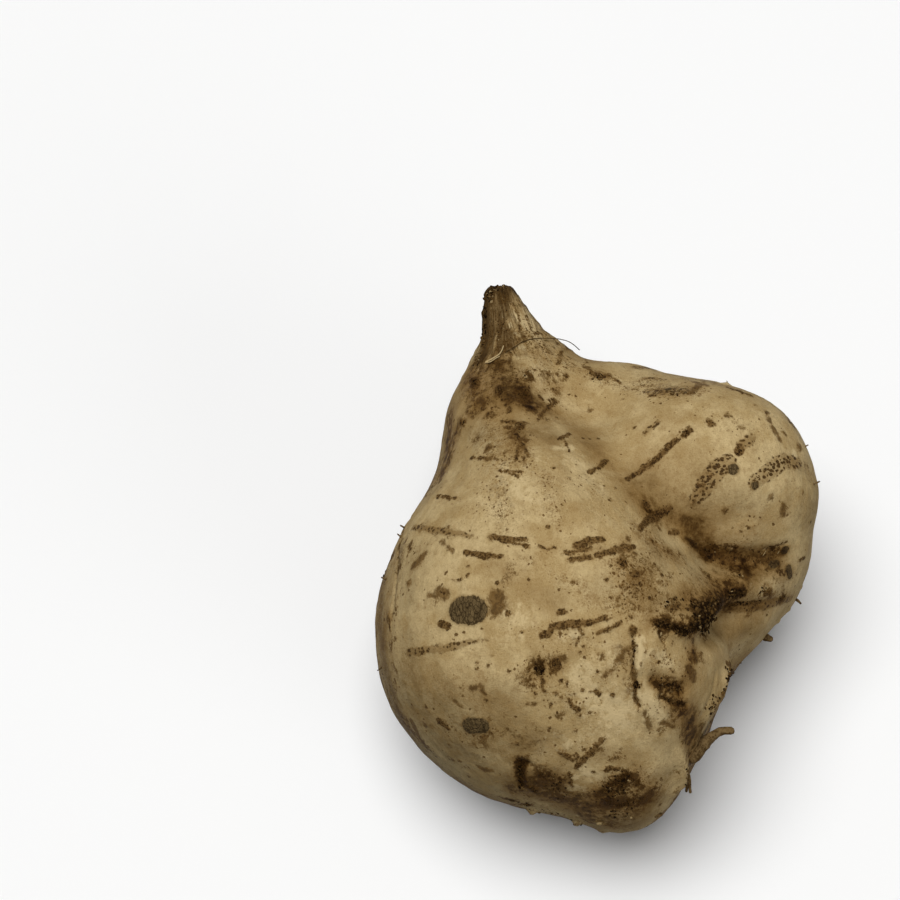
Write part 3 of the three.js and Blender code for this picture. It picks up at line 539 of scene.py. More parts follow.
# a thin even grey darkening: mostly painted shade along the left edge, over the lower left, in the valley, the folds
# and on the underside, partly fine dirt as on the shoulder and in the seeded patches on the hidden sides: (stroke,
# amount)
SHADE_AND_DIRT_FILMS = [
    ([(384, 560, 10), (380, 620, 11), (386, 680, 11), (402, 725, 11)], 0.85), ([(410, 690, 15), (426, 724, 15), (450, 745, 17)], 0.62), ([(450, 702, 17), (480, 735, 20)], 0.58), ([(492, 702, 15), (520, 741, 19)], 0.48),
    ([(475, 765, 14), (500, 785, 11)], 0.25), ([(409, 640, 11), (411, 670, 11)], 0.42), ([(412, 555, 9), (408, 600, 9)], 0.45), ([(452, 396, 9), (446, 438, 8), (442, 470, 7)], 0.5), ([(436, 488, 7)], 0.5),
    ([(519, 786, 14), (549, 792, 16)], 0.9), ([(575, 812, 10)], 0.5), ([(600, 822, 13), (630, 826, 13), (656, 800, 11)], 0.85), ([(650, 480, 13), (664, 503, 15), (690, 515, 13)], 0.55), ([(636, 478, 9)], 0.3),
    ([(721, 614, 11), (745, 622, 12), (704, 640, 9)], 0.6), ([(650, 562, 15), (640, 590, 18), (666, 604, 13)], 0.5), ([(603, 588, 13)], 0.35), ([(703, 480, 13), (737, 492, 14)], 0.38), ([(606, 428, 13), (588, 442, 11)], 0.25),
    ([(530, 740, 11)], 0.2), ([(511, 392, 13), (532, 400, 13)], 0.6), ([(520, 430, 13), (549, 437, 12)], 0.5), ([(470, 430, 10), (492, 436, 12)], 0.4), ([(700, 560, 12), (728, 577, 12), (772, 573, 11)], 0.5),
    ([(660, 745, 9), (690, 735, 9)], 0.3), ([(500, 610, 10), (453, 612, 10)], 0.2), ([(560, 598, 12)], 0.18), ([(612, 760, 10), (632, 757, 9)], 0.3), ([(663, 773, 10)], 0.35),
]
# densely speckled skin: (stroke, amount)
SPECKS = [
    # neck and shoulder
    ([(496, 318, 15), (503, 342, 15)], 0.9), ([(524, 322, 9), (535, 344, 12), (549, 354, 11)], 0.85), ([(468, 374, 11), (473, 398, 11)], 0.7), ([(494, 367, 11), (499, 388, 11)], 0.75),
    ([(519, 372, 11), (525, 398, 11)], 0.8), ([(545, 368, 11), (552, 397, 10)], 0.65), ([(449, 434, 9), (446, 463, 8)], 0.55),
    # top ridge
    ([(572, 366, 9), (588, 374, 9), (607, 381, 9), (627, 388, 8)], 0.65), ([(647, 383, 10), (667, 391, 11), (689, 390, 10)], 0.85), ([(704, 413, 9), (729, 421, 10), (757, 432, 9)], 0.2),
    # spotted column running down from the neck
    ([(486, 436, 12), (493, 453, 12), (505, 468, 10)], 0.7), ([(513, 428, 11), (519, 447, 12), (526, 467, 9)], 0.65), ([(500, 485, 7), (503, 508, 7)], 0.65), ([(542, 476, 10), (548, 498, 11), (556, 519, 10)], 0.46),
    ([(478, 478, 14), (505, 528, 13)], 0.3), ([(588, 474, 14), (602, 502, 12)], 0.28),
    # beside the valley, and the dense dots below it
    ([(638, 527, 9), (656, 543, 11), (674, 557, 9)], 0.62), ([(619, 562, 9), (634, 577, 14), (629, 596, 12)], 0.9), ([(653, 582, 12), (661, 601, 11)], 0.6), ([(613, 605, 9), (637, 613, 10)], 0.6),
    ([(694, 584, 9), (717, 588, 8)], 0.38), ([(534, 562, 9), (557, 577, 10), (579, 588, 9)], 0.42), ([(592, 607, 9)], 0.35),
    # folds
    ([(716, 550, 8), (744, 556, 8), (774, 552, 8)], 0.4), ([(723, 600, 9), (752, 599, 8), (783, 595, 8)], 0.4), ([(697, 608, 11)], 0.6),
    # middle and pit
    ([(547, 640, 9), (573, 642, 9)], 0.42), ([(589, 645, 10), (603, 664, 10), (598, 688, 9)], 0.35), ([(524, 674, 8), (542, 687, 10), (567, 694, 9)], 0.55), ([(572, 702, 10), (593, 706, 8)], 0.4),
    ([(656, 657, 8), (673, 664, 8)], 0.6), ([(691, 656, 8), (692, 675, 8)], 0.5),
    # foot, flank and underside
    ([(653, 709, 8), (674, 716, 8), (689, 727, 8)], 0.42), ([(452, 732, 9), (483, 739, 9)], 0.2), ([(577, 746, 9), (589, 757, 8)], 0.35), ([(541, 781, 9), (566, 779, 9)], 0.5),
    ([(603, 792, 11), (619, 783, 12), (642, 779, 10)], 0.6), ([(613, 808, 10), (637, 807, 9)], 0.42), ([(653, 792, 9)], 0.4),
]
# whitish, freshly rubbed skin: (stroke, amount)
PALES = [
    ([(640, 642, 5), (641, 655, 5), (639, 664, 4)], 0.62), ([(590, 700, 14), (612, 712, 14)], 0.45), ([(650, 697, 8)], 0.4), ([(560, 745, 12), (590, 735, 10)], 0.3), ([(500, 470, 12), (520, 488, 12)], 0.4), ([(575, 460, 12), (598, 485, 10)], 0.35), ([(540, 460, 10)], 0.3), ([(605, 655, 12), (575, 672, 10)], 0.35), ([(640, 700, 9)], 0.3), ([(533, 500, 16)], 0.25), ([(520, 620, 12)], 0.3), ([(500, 640, 10)], 0.2), ([(655, 712, 8), (662, 718, 6)], 0.5), ([(615, 700, 12), (625, 725, 10)], 0.35), ([(585, 680, 10)], 0.3), ([(480, 500, 14)], 0.3), ([(610, 740, 9)], 0.2), ([(655, 655, 7), (664, 660, 7)], 0.3), ([(565, 635, 5), (575, 634, 4)], 0.5), ([(525, 315, 5), (527, 328, 5)], 0.45),
    ([(526, 304, 5), (531, 322, 6), (537, 340, 6)], 0.5), ([(517, 291, 3.5)], 0.6), ([(515, 318, 3)], 0.7), ([(497, 336, 3)], 0.5), ([(522, 347, 4)], 0.5), ([(518, 326, 3)], 0.6), ([(509, 299, 2.4)], 0.5), ([(524, 300, 3), (533, 322, 3)], 0.4), ([(535, 392, 4), (549, 402, 4)], 0.35), ([(500, 440, 8)], 0.3), ([(545, 433, 6)], 0.3), ([(535, 357, 6), (553, 362, 6)], 0.2), ([(504, 317, 2)], 0.75), ([(509, 325, 2.2)], 0.8), ([(518, 320, 1.8)], 0.7), ([(523, 327, 2)], 0.7), ([(515, 334, 1.8)], 0.75), ([(519, 337, 1.6)], 0.7), ([(506, 313, 1.6)], 0.7), ([(511, 340, 1.8)], 0.6), ([(526, 376, 2)], 0.75), ([(546.4, 374, 1.2)], 0.8), ([(562, 376, 1.6)], 0.7), ([(546, 399, 3), (550, 394, 3)], 0.7), ([(535, 372, 7), (540, 385, 7)], 0.5), ([(517, 366, 5), (516, 376, 4)], 0.3),  ([(556, 447, 4), (572, 447, 5)], 0.4), ([(561, 428, 5)], 0.3), ([(794.5, 453, 3.6)], 0.8), ([(728, 380, 4)], 0.7),
    ([(586.6, 771, 8), (600, 780, 6)], 0.45), ([(574, 778, 4)], 0.5), ([(568, 787, 5), (582, 789, 4)], 0.45), ([(599, 824, 3)], 0.7), ([(577, 817, 2)], 0.6), ([(547, 806.5, 2)], 0.5),
    ([(766.3, 549.4, 0.9), (762.8, 556.2, 0.8)], 0.9), ([(779.5, 549.4, 0.9), (776.6, 556.2, 0.8)], 0.8), ([(745, 592, 8)], 0.35), ([(668, 663, 8)], 0.4),
    ([(443, 457, 1), (439, 468, 1)], 0.7), ([(521, 634, 14), (500, 560, 20)], 0.12), ([(647, 680, 4), (652, 710, 5)], 0.3), ([(560, 715, 6)], 0.25), 
]
# grey cast over the skin; along the left edge, over the lower left and on the underside it is partly painted shade:
# (stroke, amount)
GREYS = [
    ([(499, 361, 9), (506, 385, 10), (523, 396, 10)], 0.4),
    ([(671, 387, 6), (690, 388, 6)], 0.35), ([(533.4, 393.6, 4.5)], 0.5), ([(500, 312, 8), (503, 335, 10), (510, 350, 9)], 0.6), ([(514, 366, 8), (520, 382, 8), (534, 395, 5)], 0.5), ([(745, 593, 8), (752, 598, 7)], 0.35),
    ([(690, 715, 9), (694, 740, 10)], 0.5), ([(545, 783, 12), (580, 805, 12)], 0.5), ([(500, 605, 6)], 0.2), ([(716, 695, 6)], 0.5), ([(385, 660, 6), (395, 700, 6)], 0.4), ([(402, 545, 5), (396, 585, 5)], 0.45),
    ([(770, 560, 6)], 0.3), ([(493, 300, 5)], 0.6), ([(470, 760, 18), (440, 750, 12)], 0.25),
]
# dark fibrous bark of the neck: (stroke, amount)
BARKS = [
    ([(487, 306, 5), (487, 330, 5.5), (486, 346, 5), (481, 360, 4)], 1.0), ([(489, 297, 6), (499, 290, 7), (506, 300, 5)], 1.0), ([(495, 288, 5), (506, 286, 4.5)], 1.0),
    ([(498, 308, 7), (498, 330, 8), (498, 350, 8)], 0.5), ([(511, 330, 6), (510, 345, 7)], 0.6), ([(508, 312, 5)], 0.55), ([(512, 362, 6), (518, 372, 6)], 0.2), ([(490, 362, 8), (480, 372, 7)], 0.3),
    ([(700, 712, 6), (700, 745, 7)], 0.5), ([(688, 775, 5), (687, 792, 4)], 0.8), ([(404, 528, 3), (398, 550, 3), (396, 583, 3), (391, 617, 3)], 0.4), ([(480, 350, 4), (472, 368, 4)], 0.5),
]


def seeded(rng, n, kind):
    """Marks of the same kinds on the sides that the camera doesn't see, as strokes on the skin."""
    pool = np.nonzero((FACING < 0.12) & (BASE[:, 2] > 1.5))[0]
    out = []
    for _ in range(n):
        k = int(pool[int(rng.random() * len(pool))]); p = BASE[k]; nn = NRM[k]
        along = np.cross(NECK_AX, nn)
        if np.linalg.norm(along) < 0.2:
            along = np.cross(AXU, nn)
        along /= np.linalg.norm(along)
        up = np.cross(nn, along)
        if kind == "streak":
            L = 1.5 + 7 * rng.random() ** 1.6; r = 0.25 + 0.55 * rng.random(); tilt = (rng.random() - 0.5) * 1.1
        elif kind == "spot":
            L = 0.8 * rng.random(); r = 0.2 + 0.9 * rng.random() ** 2.5; tilt = rng.random() * 3
        elif kind == "blot":
            L = 3 * rng.random(); r = 0.7 + 1.3 * rng.random(); tilt = rng.random() * 3
        elif kind == "scab":
            L = 2.5 * rng.random(); r = 1.2 + 1.9 * rng.random(); tilt = rng.random() * 3
        elif kind == "comb":
            L = 4 + 8 * rng.random(); r = 1.0 + 1.0 * rng.random(); tilt = (rng.random() - 0.5) * 1.6
        else:
            L = 12 * rng.random(); r = 3 + 5 * rng.random(); tilt = rng.random() * 3
        d = along * math.cos(tilt) + up * math.sin(tilt)
        m = max(2, int(L / 0.8) + 1); bend = (rng.random() - 0.5) * 0.5
        S = []
        for i in range(m):
            t = i / (m - 1) - 0.5
            q = p + d * (L * t) + up * (bend * L * (t * t - 0.25))
            h = TREE.find_nearest(Vector(q))
            S.append([*h[0], r * (0.65 + 0.35 * math.cos(2.4 * t)) * (0.85 + 0.3 * rng.random())])
        out.append(np.array(S))
    return out


def frayed(strokes):
    """Short thin streaks beside and past the ends of the long ones, so that no streak ends in a round cap."""
    r = np.random.default_rng(88); out = []
    for s in strokes:
        L = math.hypot(s[-1][0] - s[0][0], s[-1][1] - s[0][1]); wide = max(q[2] for q in s)
        if L < 7 or wide < 1.3:
            continue
        ux, uy = (s[-1][0] - s[0][0]) / L, (s[-1][1] - s[0][1]) / L
        for _ in range(2 + int(L / 7)):
            t = -0.08 + 1.16 * r.random(); k = min(max(t, 0.0), 1.0) * (len(s) - 1); i = min(int(k), len(s) - 2); f = k - i
            cx, cy = s[i][0] + (s[i + 1][0] - s[i][0]) * f, s[i][1] + (s[i + 1][1] - s[i][1]) * f; rad = s[i][2] + (s[i + 1][2] - s[i][2]) * f
            side = (1 if r.random() < 0.5 else -1) * rad * (0.55 + 0.75 * r.random()); half = 1.2 + 2.8 * r.random(); turn = (r.random() - 0.5) * 0.5
            dx, dy = ux * math.cos(turn) - uy * math.sin(turn), ux * math.sin(turn) + uy * math.cos(turn)
            cx, cy = cx - uy * side + ux * (min(t, 0) + max(t - 1, 0)) * L, cy + ux * side + uy * (min(t, 0) + max(t - 1, 0)) * L
            out.append([(cx - dx * half, cy - dy * half, 0.35), (cx, cy, 0.55 + 0.5 * r.random()), (cx + dx * half, cy + dy * half, 0.3)])
    return out


SCARS = SCARS + frayed(SCARS)
RNG = np.random.default_rng(4711)
A = {}
A["scar"] = signed([laid(s) for s in SCARS] + seeded(RNG, 95, "streak") + seeded(RNG, 210, "spot"))
A["blot"] = signed([laid(s) for s in BLOTS] + seeded(RNG, 60, "blot"))
A["scab"] = signed([laid(s) for s in SCABS] + seeded(RNG, 7, "scab"))
A["comb"] = signed([laid(s) for s in COMBS] + seeded(RNG, 11, "comb"))
A["band"] = signed([laid(s) for s in BANDS] + seeded(RNG, 6, "comb"))
A["veil_stain_and_shade"] = soft([(laid(s), a) for s, a in STAIN_AND_SHADE_VEILS] + [(S, 0.15 + 0.35 * RNG.random()) for S in seeded(RNG, 46, "area")])
A["soil"] = soft([(laid(s), a) for s, a in SOILS] + [(S, 0.35 + 0.5 * RNG.random()) for S in seeded(RNG, 7, "blot")])
A["speck"] = soft([(laid(s), a) for s, a in SPECKS] + [(S, 0.25 + 0.5 * RNG.random()) for S in seeded(RNG, 50, "area")])
A["shade_and_dirt_film"] = soft([(laid(s), a) for s, a in SHADE_AND_DIRT_FILMS] + [(S, 0.2 + 0.4 * RNG.random()) for S in seeded(RNG, 22, "area")])
A["pale"] = soft([(laid(s), a) for s, a in PALES] + [(S, 0.2 + 0.3 * RNG.random()) for S in seeded(RNG, 14, "area")])
A["grey"] = soft([(laid(s), a) for s, a in GREYS] + [(S, 0.2 + 0.3 * RNG.random()) for S in seeded(RNG, 16, "area")])
A["shade"] = soft([(laid(s), a) for s, a in PAINTED_SHADE_AND_STAIN] + [(S, 0.1 + 0.25 * RNG.random()) for S in seeded(RNG, 26, "area")])
A["bark"] = soft([(laid(s), a) for s, a in BARKS])
# the whole neck is fibrous, its cut end most of all
_sn = (BASE - NECK_TOP) @ NECK_AX
_rn = np.linalg.norm((BASE - NECK_TOP) - _sn[:, None] * NECK_AX, axis=1)
NECKY = smooth(_sn, -34, -8) * smooth(_rn, 22, 13)
_round = (BASE - NECK_TOP) - _sn[:, None] * NECK_AX
_round = _round / np.maximum(_rn, 0.5)[:, None] * 18.0
FX, FY, FZ = _round @ GX, _round @ GY, -np.hypot(_sn, np.maximum(_rn - 7.0, 0))
A["upper"] = smooth(_sn, -44, -30) * smooth(_rn, 34, 22)
A["fibx"], A["fiby"], A["fibz"] = FX, FY, FZ
A["neck"] = NECKY
TIP = smooth(_sn, -3.2, 2.2) * smooth(_rn, 12, 8)
HIDDEN = smooth(FACING, 0.25, -0.15)
A["bark"] = np.clip(A["bark"] + 0.5 * HIDDEN * NECKY * smooth(vnoise(np.stack([BASE @ GX / 1.2, BASE @ GY / 1.2, BASE @ NECK_AX / 9], -1), 1.0, 51), -0.25, 0.5) + 0.75 * TIP, 0, 1)
# skin that faces downwards gets more soil and more brown veil, so it is darker towards the bottom; the cut end gets
# more veil too
UNDER = smooth(NRM[:, 2], -0.15, -0.75)
A["soil"] = np.clip(A["soil"] + 0.45 * UNDER * smooth(vnoise(BASE, 9, 52), 0.0, 0.6), 0, 1)
A["veil_stain_and_shade"] = np.clip(A["veil_stain_and_shade"] + 0.3 * UNDER + 0.25 * TIP, 0, 1)

# ------------------------------------------------------------------ relief
along = BASE @ NECK_AX
GR = np.stack([BASE @ GX, BASE @ GY, along / 7.0], -1)
GRN = np.stack([FX, FY, FZ / 3.5], -1)
disp = 0.50 * vnoise(BASE, 19, 1) + 0.26 * vnoise(BASE, 8.5, 2) + 0.11 * vnoise(BASE, 4.2, 3) + 0.05 * vnoise(BASE, 2.0, 4)
disp += 0.10 * vnoise(GR, 2.2, 5) + NECKY * (0.46 * vnoise(GRN, 5.0, 6) + 0.34 * vnoise(GRN, 2.4, 7) + 0.34 * vnoise(BASE, 3.0, 17) + 0.20 * vnoise(BASE, 1.1, 18))
disp += TIP * (0.5 * vnoise(BASE, 2.2, 8) + 0.3 * vnoise(BASE, 1.2, 9))


def groove(points, depth, half, flat=0.0):
    S = laid(points); idx = near(S, 3 * half)
    d, r = dist_to(S, idx)
    k = r / mm_per_px(S[len(S) // 2, :3])
    disp[idx] -= depth * k * np.exp(-(np.maximum(d - flat, 0) / half) ** 2)
    return S


def raise_by(points, height, edge=0.35):
    """A plateau whose rim follows the stroke's own radius."""
    S = laid(points); idx = near(S, 4 * edge)
    d, r = dist_to(S, idx)
    disp[idx] += height * smooth(r - d, -edge, edge)


for s in SCARS:
    raise_by(s, 0.13, 0.3)
for s in SCABS:
    raise_by(s, 0.22, 0.4)
for s in COMBS + BANDS:
    raise_by(s, 0.10, 0.6)
_sm = A["scar"]; disp += np.where(_sm < 0.3, 0.08 * vnoise(BASE, 0.9, 10), 0)
_cm = np.minimum(np.minimum(A["comb"], A["band"]), A["scab"]); disp += smooth(_cm, 0.3, -0.3) * 0.10 * vnoise(BASE, 0.8, 11)
disp += A["soil"] * (0.22 * vnoise(BASE, 1.3, 12) + 0.12 * vnoise(BASE, 0.7, 13) + 0.05)
disp += A["bark"] * (0.25 * vnoise(GRN, 1.8, 14) + 0.20 * vnoise(BASE, 0.8, 19))
groove([(712, 560, 0.3), (735, 562, 1), (760, 563, 1), (782, 558, 0.5)], 0.9, 4.2)
groove([(715, 533, 0.4), (730, 533, 1), (745, 535, 1), (768, 535, 1), (786, 530, 0.4)], -0.4, 3.0)
groove([(694, 548, 1), (702, 562, 1)], -0.3, 3.6)
groove([(668, 619, 0.6), (684, 624, 1), (700, 618, 1), (712, 606, 1), (722, 600, 0.4)], -1.9, 3.0)
groove([(672, 606, 0.8), (690, 600, 0.8)], 0.7, 4.0)
groove([(714, 549, 0.2), (731, 551, 1), (742, 553, 1), (756, 554, 1), (770, 554, 1), (784, 550, 0.3)], 0.55, 2.4)
groove([(766, 549, 1), (776, 548, 1), (786, 543, 1)], 0.4, 0.6)
groove([(660, 626, 1), (684, 631, 1), (700, 621, 1), (708, 604, 1)], 0.7, 0.8)
groove([(727, 603.8, 1), (745, 602.5, 1), (760, 601, 1), (776, 599, 1)], 0.5, 0.6)
groove([(633, 636, 1), (632.7, 643, 1), (635, 650, 1), (633.2, 661, 1), (633.2, 675, 1), (636, 685, 1), (635, 698, 1), (639.3, 707, 1)], 0.8, 0.4)
raise_by([(638.5, 640, 3), (640, 655, 4), (638.5, 672, 2.6)], 0.4, 0.8)
groove([(657, 680, 1), (668, 686, 1), (679, 691, 1)], 1.1, 2.0)
groove([(661, 697, 1), (671.4, 702, 1), (685.7, 704.6, 1)], 0.8, 0.6)
groove([(659.5, 632, 1), (663.5, 642.3, 1)], 0.9, 0.45)
groove([(520.6, 764, 1), (519.8, 776, 1), (521.6, 787, 0.8)], 1.0, 1.1)
groove([(527, 766, 1)], 1.0, 0.9)
groove([(524, 395.5, 1)], 0.5, 2.0)
groove([(539, 668, 1), (539, 676, 1)], 0.7, 1.8)
groove([(556.6, 665, 1)], 0.45, 1.4)
groove([(645.5, 504, 1)], 0.5, 1.1)
groove([(739, 452, 1)], 0.4, 1.2)
groove([(623.6, 563, 1)], 0.35, 1.0)
groove([(404, 528, 1), (398, 550, 1), (397, 567, 1), (394, 583, 1), (391, 618, 1)], 0.35, 0.45)
groove([(727, 664, -0.6), (722, 678, -1), (718, 694, -1), (710, 710, -0.7), (704, 722, -0.3)], 1.5, 2.0)
groove([(680, 752, -0.3), (682, 766, -1), (680, 782, -1), (674, 792, -0.4)], 2.0, 1.7)
groove([(716, 672, 0.6), (712, 692, 1), (705, 706, 0.6)], 0.5, 0.6)
for s in seeded(RNG, 5, "streak"):
    idx = near(s, 3.0); d, r = dist_to(s, idx); disp[idx] -= 0.8 * np.exp(-(d / 0.8) ** 2)
for x, y, h, r in [(532.5, 809, 1.3, 1.1), (576.5, 822, 1.3, 1.0), (602, 831, 0.7, 1.3), (801.5, 587.8, 0.5, 0.8), (788, 609, 0.6, 0.9), (778, 620.5, 0.5, 0.8), (728, 381, 0.8, 1.1), (599, 824, 0.6, 0.9)]:
    S = laid([(x, y, 1)]); idx = near(S, 3 * r); d, _r = dist_to(S, idx); disp[idx] += h * np.exp(-(d / r) ** 2)

disp = disp * smooth(BASE[:, 2], 0.2, 5.0)          # nothing moves on the flat spot that it rests on
SKIN = BASE + NRM * disp[:, None]
SKIN[:, 2] = np.maximum(SKIN[:, 2], np.minimum(BASE[:, 2], 0.02 + 0 * BASE[:, 2]))
SKIN[:, 2] = np.maximum(SKIN[:, 2], 0.0)
FINE_TREE = BVHTree.FromPolygons([Vector(p) for p in SKIN.tolist()], TRI.tolist())

# ------------------------------------------------------------------ dry side roots, fibres and hairs: closed tubes with round ends
VERTS, FACES, PART = [SKIN], [TRI], [np.zeros(NV)]
UVX = []          # uv origin of each tube
COUNT = NV


def tube(path, radii, sides=8, shade=1.0, seed=0):
    """path: points in mm; closed, with rounded ends."""
    global COUNT
    path = np.array(path, float); radii = np.array(radii, float)
    n = len(path)
    tang = np.gradient(path, axis=0); tang /= np.linalg.norm(tang, axis=1)[:, None]
    ref = np.array([0.31, 0.17, 0.93]); a = np.cross(tang[0], ref); a /= np.linalg.norm(a)
    rings = []
    for i in range(n):
        a = a - (a @ tang[i]) * tang[i]; a /= np.linalg.norm(a); b = np.cross(tang[i], a)
        rings.append((path[i], a.copy(), b, tang[i], radii[i]))
    full = []
    p, a0, b0, t0, r0 = rings[0]
    for q in (0.35, 0.75):
        full.append((p - t0 * r0 * (1 - q * q) ** 0.5 * 0.8, a0, b0, r0 * q))
    for p, a_, b_, t_, r_ in rings:
        full.append((p, a_, b_, r_))
    p, a1, b1, t1, r1 = rings[-1]
    for q in (0.75, 0.35):
        full.append((p + t1 * r1 * (1 - q * q) ** 0.5 * 0.8, a1, b1, r1 * q))
    V, F = [], []
    for k, (p, a_, b_, r_) in enumerate(full):
        for s in range(sides):
            f = 2 * math.pi * s / sides
            wob = 1 + 0.10 * math.sin(3 * f + k * 0.5 + seed) * (0.5 + 0.5 * math.sin(k * 1.7 + seed))
            V.append(p + (a_ * math.cos(f) + b_ * math.sin(f)) * r_ * wob)
    V.append(rings[0][0] - t0 * r0 * 0.84); V.append(rings[-1][0] + t1 * r1 * 0.84)
    m = len(full)
    for k in range(m - 1):
        for s in range(sides):
            i0, i1 = k * sides + s, k * sides + (s + 1) % sides
            j0, j1 = i0 + sides, i1 + sides
            F += [[i0, i1, j1], [i0, j1, j0]]
    for s in range(sides):
        F.append([m * sides, (s + 1) % sides, s])
        F.append([m * sides + 1, (m - 1) * sides + s, (m - 1) * sides + (s + 1) % sides])
    V = np.array(V); F = np.array(F)
    vol = np.einsum("ij,ij->i", V[F[:, 0]], np.cross(V[F[:, 1]], V[F[:, 2]])).sum()
    if vol < 0:
        F = F[:, ::-1]
    V[:, 2] = np.maximum(V[:, 2], 0.05)
    VERTS.append(V); FACES.append(F + COUNT); PART.append(np.full(len(V), shade)); UVX.append((COUNT, len(V), sides, m))
    COUNT += len(V)


def curve_path(pts, n):
    """Catmull-Rom through the points."""
    P = np.array([pts[0]] + list(pts) + [pts[-1]], float); segs = len(P) - 3; out = []
    for i in range(n):
        x = i / (n - 1) * segs; k = min(int(x), segs - 1); t = x - k
        p0, p1, p2, p3 = P[k], P[k + 1], P[k + 2], P[k + 3]
        out.append(0.5 * (2 * p1 + (p2 - p0) * t + (2 * p0 - 5 * p1 + 4 * p2 - p3) * t * t + (3 * p1 - p0 - 3 * p2 + p3) * t ** 3))
    return np.array(out)


def over(x, y, h):
    """A point h mm above the skin, under the frame point x, y."""
    d = AXU * ((x - 450) / 1800) - AXV * ((y - 450) / 1800) - AXW
    d /= np.linalg.norm(d)
    hit = FINE_TREE.ray_cast(Vector(CAM), Vector(d))
    if hit[0] is None:
        return None
    return np.array(hit[0]) + np.array(hit[1]) * h


def at_depth(x, y, w_ref):
    """The point of the frame ray x, y whose distance from the camera plane equals that of w_ref."""
    d = AXU * ((x - 450) / 1800) - AXV * ((y - 450) / 1800) - AXW
    return CAM + d * float(-((w_ref - CAM) @ AXW))


SIDE_ROOTS = [   # (point of the skin that gives the depth, [(x, y, radius mm), ...], shade)
    ((696, 750), [(692, 760, 1.1), (697, 753, 1.55), (703, 745.5, 1.5), (709, 739, 1.25), (716, 733.8, 1.05), (724, 731, 0.95), (731.5, 731, 0.95)], 0.8),
    ((764, 636), [(753, 631, 0.9), (762, 635.5, 1.0), (770.5, 639, 0.85)], 0.7),
    ((686, 776), [(686, 764, 0.3), (688.5, 774, 0.4), (689.5, 784, 0.42), (690.5, 792, 0.35)], 0.62), ((684, 780), [(683, 770, 0.3), (686, 780, 0.42), (686.5, 791, 0.3)], 0.55),
    ((696, 752), [(691, 762, 0.4), (695, 758.5, 0.55), (697.5, 760, 0.25)], 0.7), ((799, 604), [(796, 600, 0.4), (800, 604, 0.3)], 0.7), ((660, 812), [(655, 816, 0.4), (661, 814.5, 0.45)], 0.7),
]
for k, (foot, line, shade) in enumerate(SIDE_ROOTS):
    ref = lift(*foot)
    pts = [at_depth(x, y, ref) for x, y, _r in line]; rad = [q[2] for q in line]
    m = 22 if len(line) > 5 else 14
    path = curve_path(pts, m)
    path = path + np.stack([vnoise(path, 2.3, 60 + k), vnoise(path, 2.3, 61 + k), vnoise(path, 2.3, 62 + k)], -1) * 0.22
    tube(path, np.interp(np.linspace(0, 1, m), np.linspace(0, 1, len(rad)), rad) * (1 + 0.12 * vnoise(path, 0.9, 90 + k)), 12, shade, k)
# the pale rootlet lying across the neck's foot
pts = [over(x, y, 0.28) for x, y in [(486.5, 362.8), (489, 361.6), (494, 358.8), (499, 355.5), (502, 351.5), (504, 346.5)]]
if all(p is not None for p in pts):
    tube(curve_path(pts, 16), np.linspace(0.24, 0.15, 16), 8, 1.6, 5)
    pts = [over(x, y, 0.3) for x, y in [(486, 363.6), (491, 362.4), (496, 359.4), (500, 357.2)]]
    if all(p is not None for p in pts):
        tube(curve_path(pts, 12), np.linspace(0.17, 0.12, 12), 7, 1.6, 7)
# the long thin fibre that loops over the shoulder
_a = over(505.7, 353, 0.2)
if _a is not None:
    _b = over(577.8, 349.6, 0.2)
    _b = _b if _b is not None else at_depth(579.5, 349.6, lift(575, 355))
    ctrl = []
    XY = [(505.7, 353), (516.4, 346.3), (523, 342.2), (533, 339.3), (544.6, 338.2), (557, 338.7), (567.8, 341.3), (574, 345), (579.5, 350)]
    for i, (x, y) in enumerate(XY):
        t = i / (len(XY) - 1); ref = _a * (1 - t) + _b * t
        p = at_depth(x, y, ref); q = over(x, y, 0.25)
        if q is not None and (q - p) @ AXW > -0.1:
            p = q
        ctrl.append(p)
    tube(curve_path(ctrl, 40), np.full(40, 0.115), 6, 0.55, 6)
# small spikes and stubs along the edges: foot (x, y) and outer end (x, y) in the frame
for k, (x0, y0, x1, y1, r, sh) in enumerate([(404, 528, 400.5, 525.5, 0.35, 0.7), (401, 537, 397.5, 534, 0.3, 0.6), (386, 579, 381.5, 577.5, 0.35, 0.7), (812, 485, 819.5, 481.5, 0.35, 0.8),
                                             (804, 447, 808, 445, 0.3, 0.7), (381, 668, 377.5, 670.5, 0.25, 0.6)]):
    p = lift(x0, y0); q = at_depth(x1, y1, p)
    tube(curve_path([p - (q - p) * 0.4, p, q], 8), np.linspace(r, r * 0.55, 8), 7, sh, 10 + k)
# a few short roots and hairs on the hidden sides
pool = np.nonzero((FACING < -0.45) & (BASE[:, 2] > 10))[0]
for k in range(9):
    i = int(pool[int(RNG.random() * len(pool))]); p = SKIN[i]; nn = NRM[i]
    L = 2.0 + 4.5 * RNG.random(); r = 0.25 + 0.45 * RNG.random()
    s = np.cross(nn, NECK_AX); s /= max(np.linalg.norm(s), 1e-6); b = (RNG.random() - 0.5) * 1.4
    pts = [p - nn * 1.0, p + nn * L * 0.3, p + nn * L * 0.6 + s * L * 0.25 * b - np.array([0, 0, 0.1 * L]), p + nn * L * 0.8 + s * L * 0.7 * b - np.array([0, 0, 0.35 * L])]
    tube(curve_path(pts, 12), np.linspace(r, r * 0.6, 12), 8, 0.8, 30 + k)


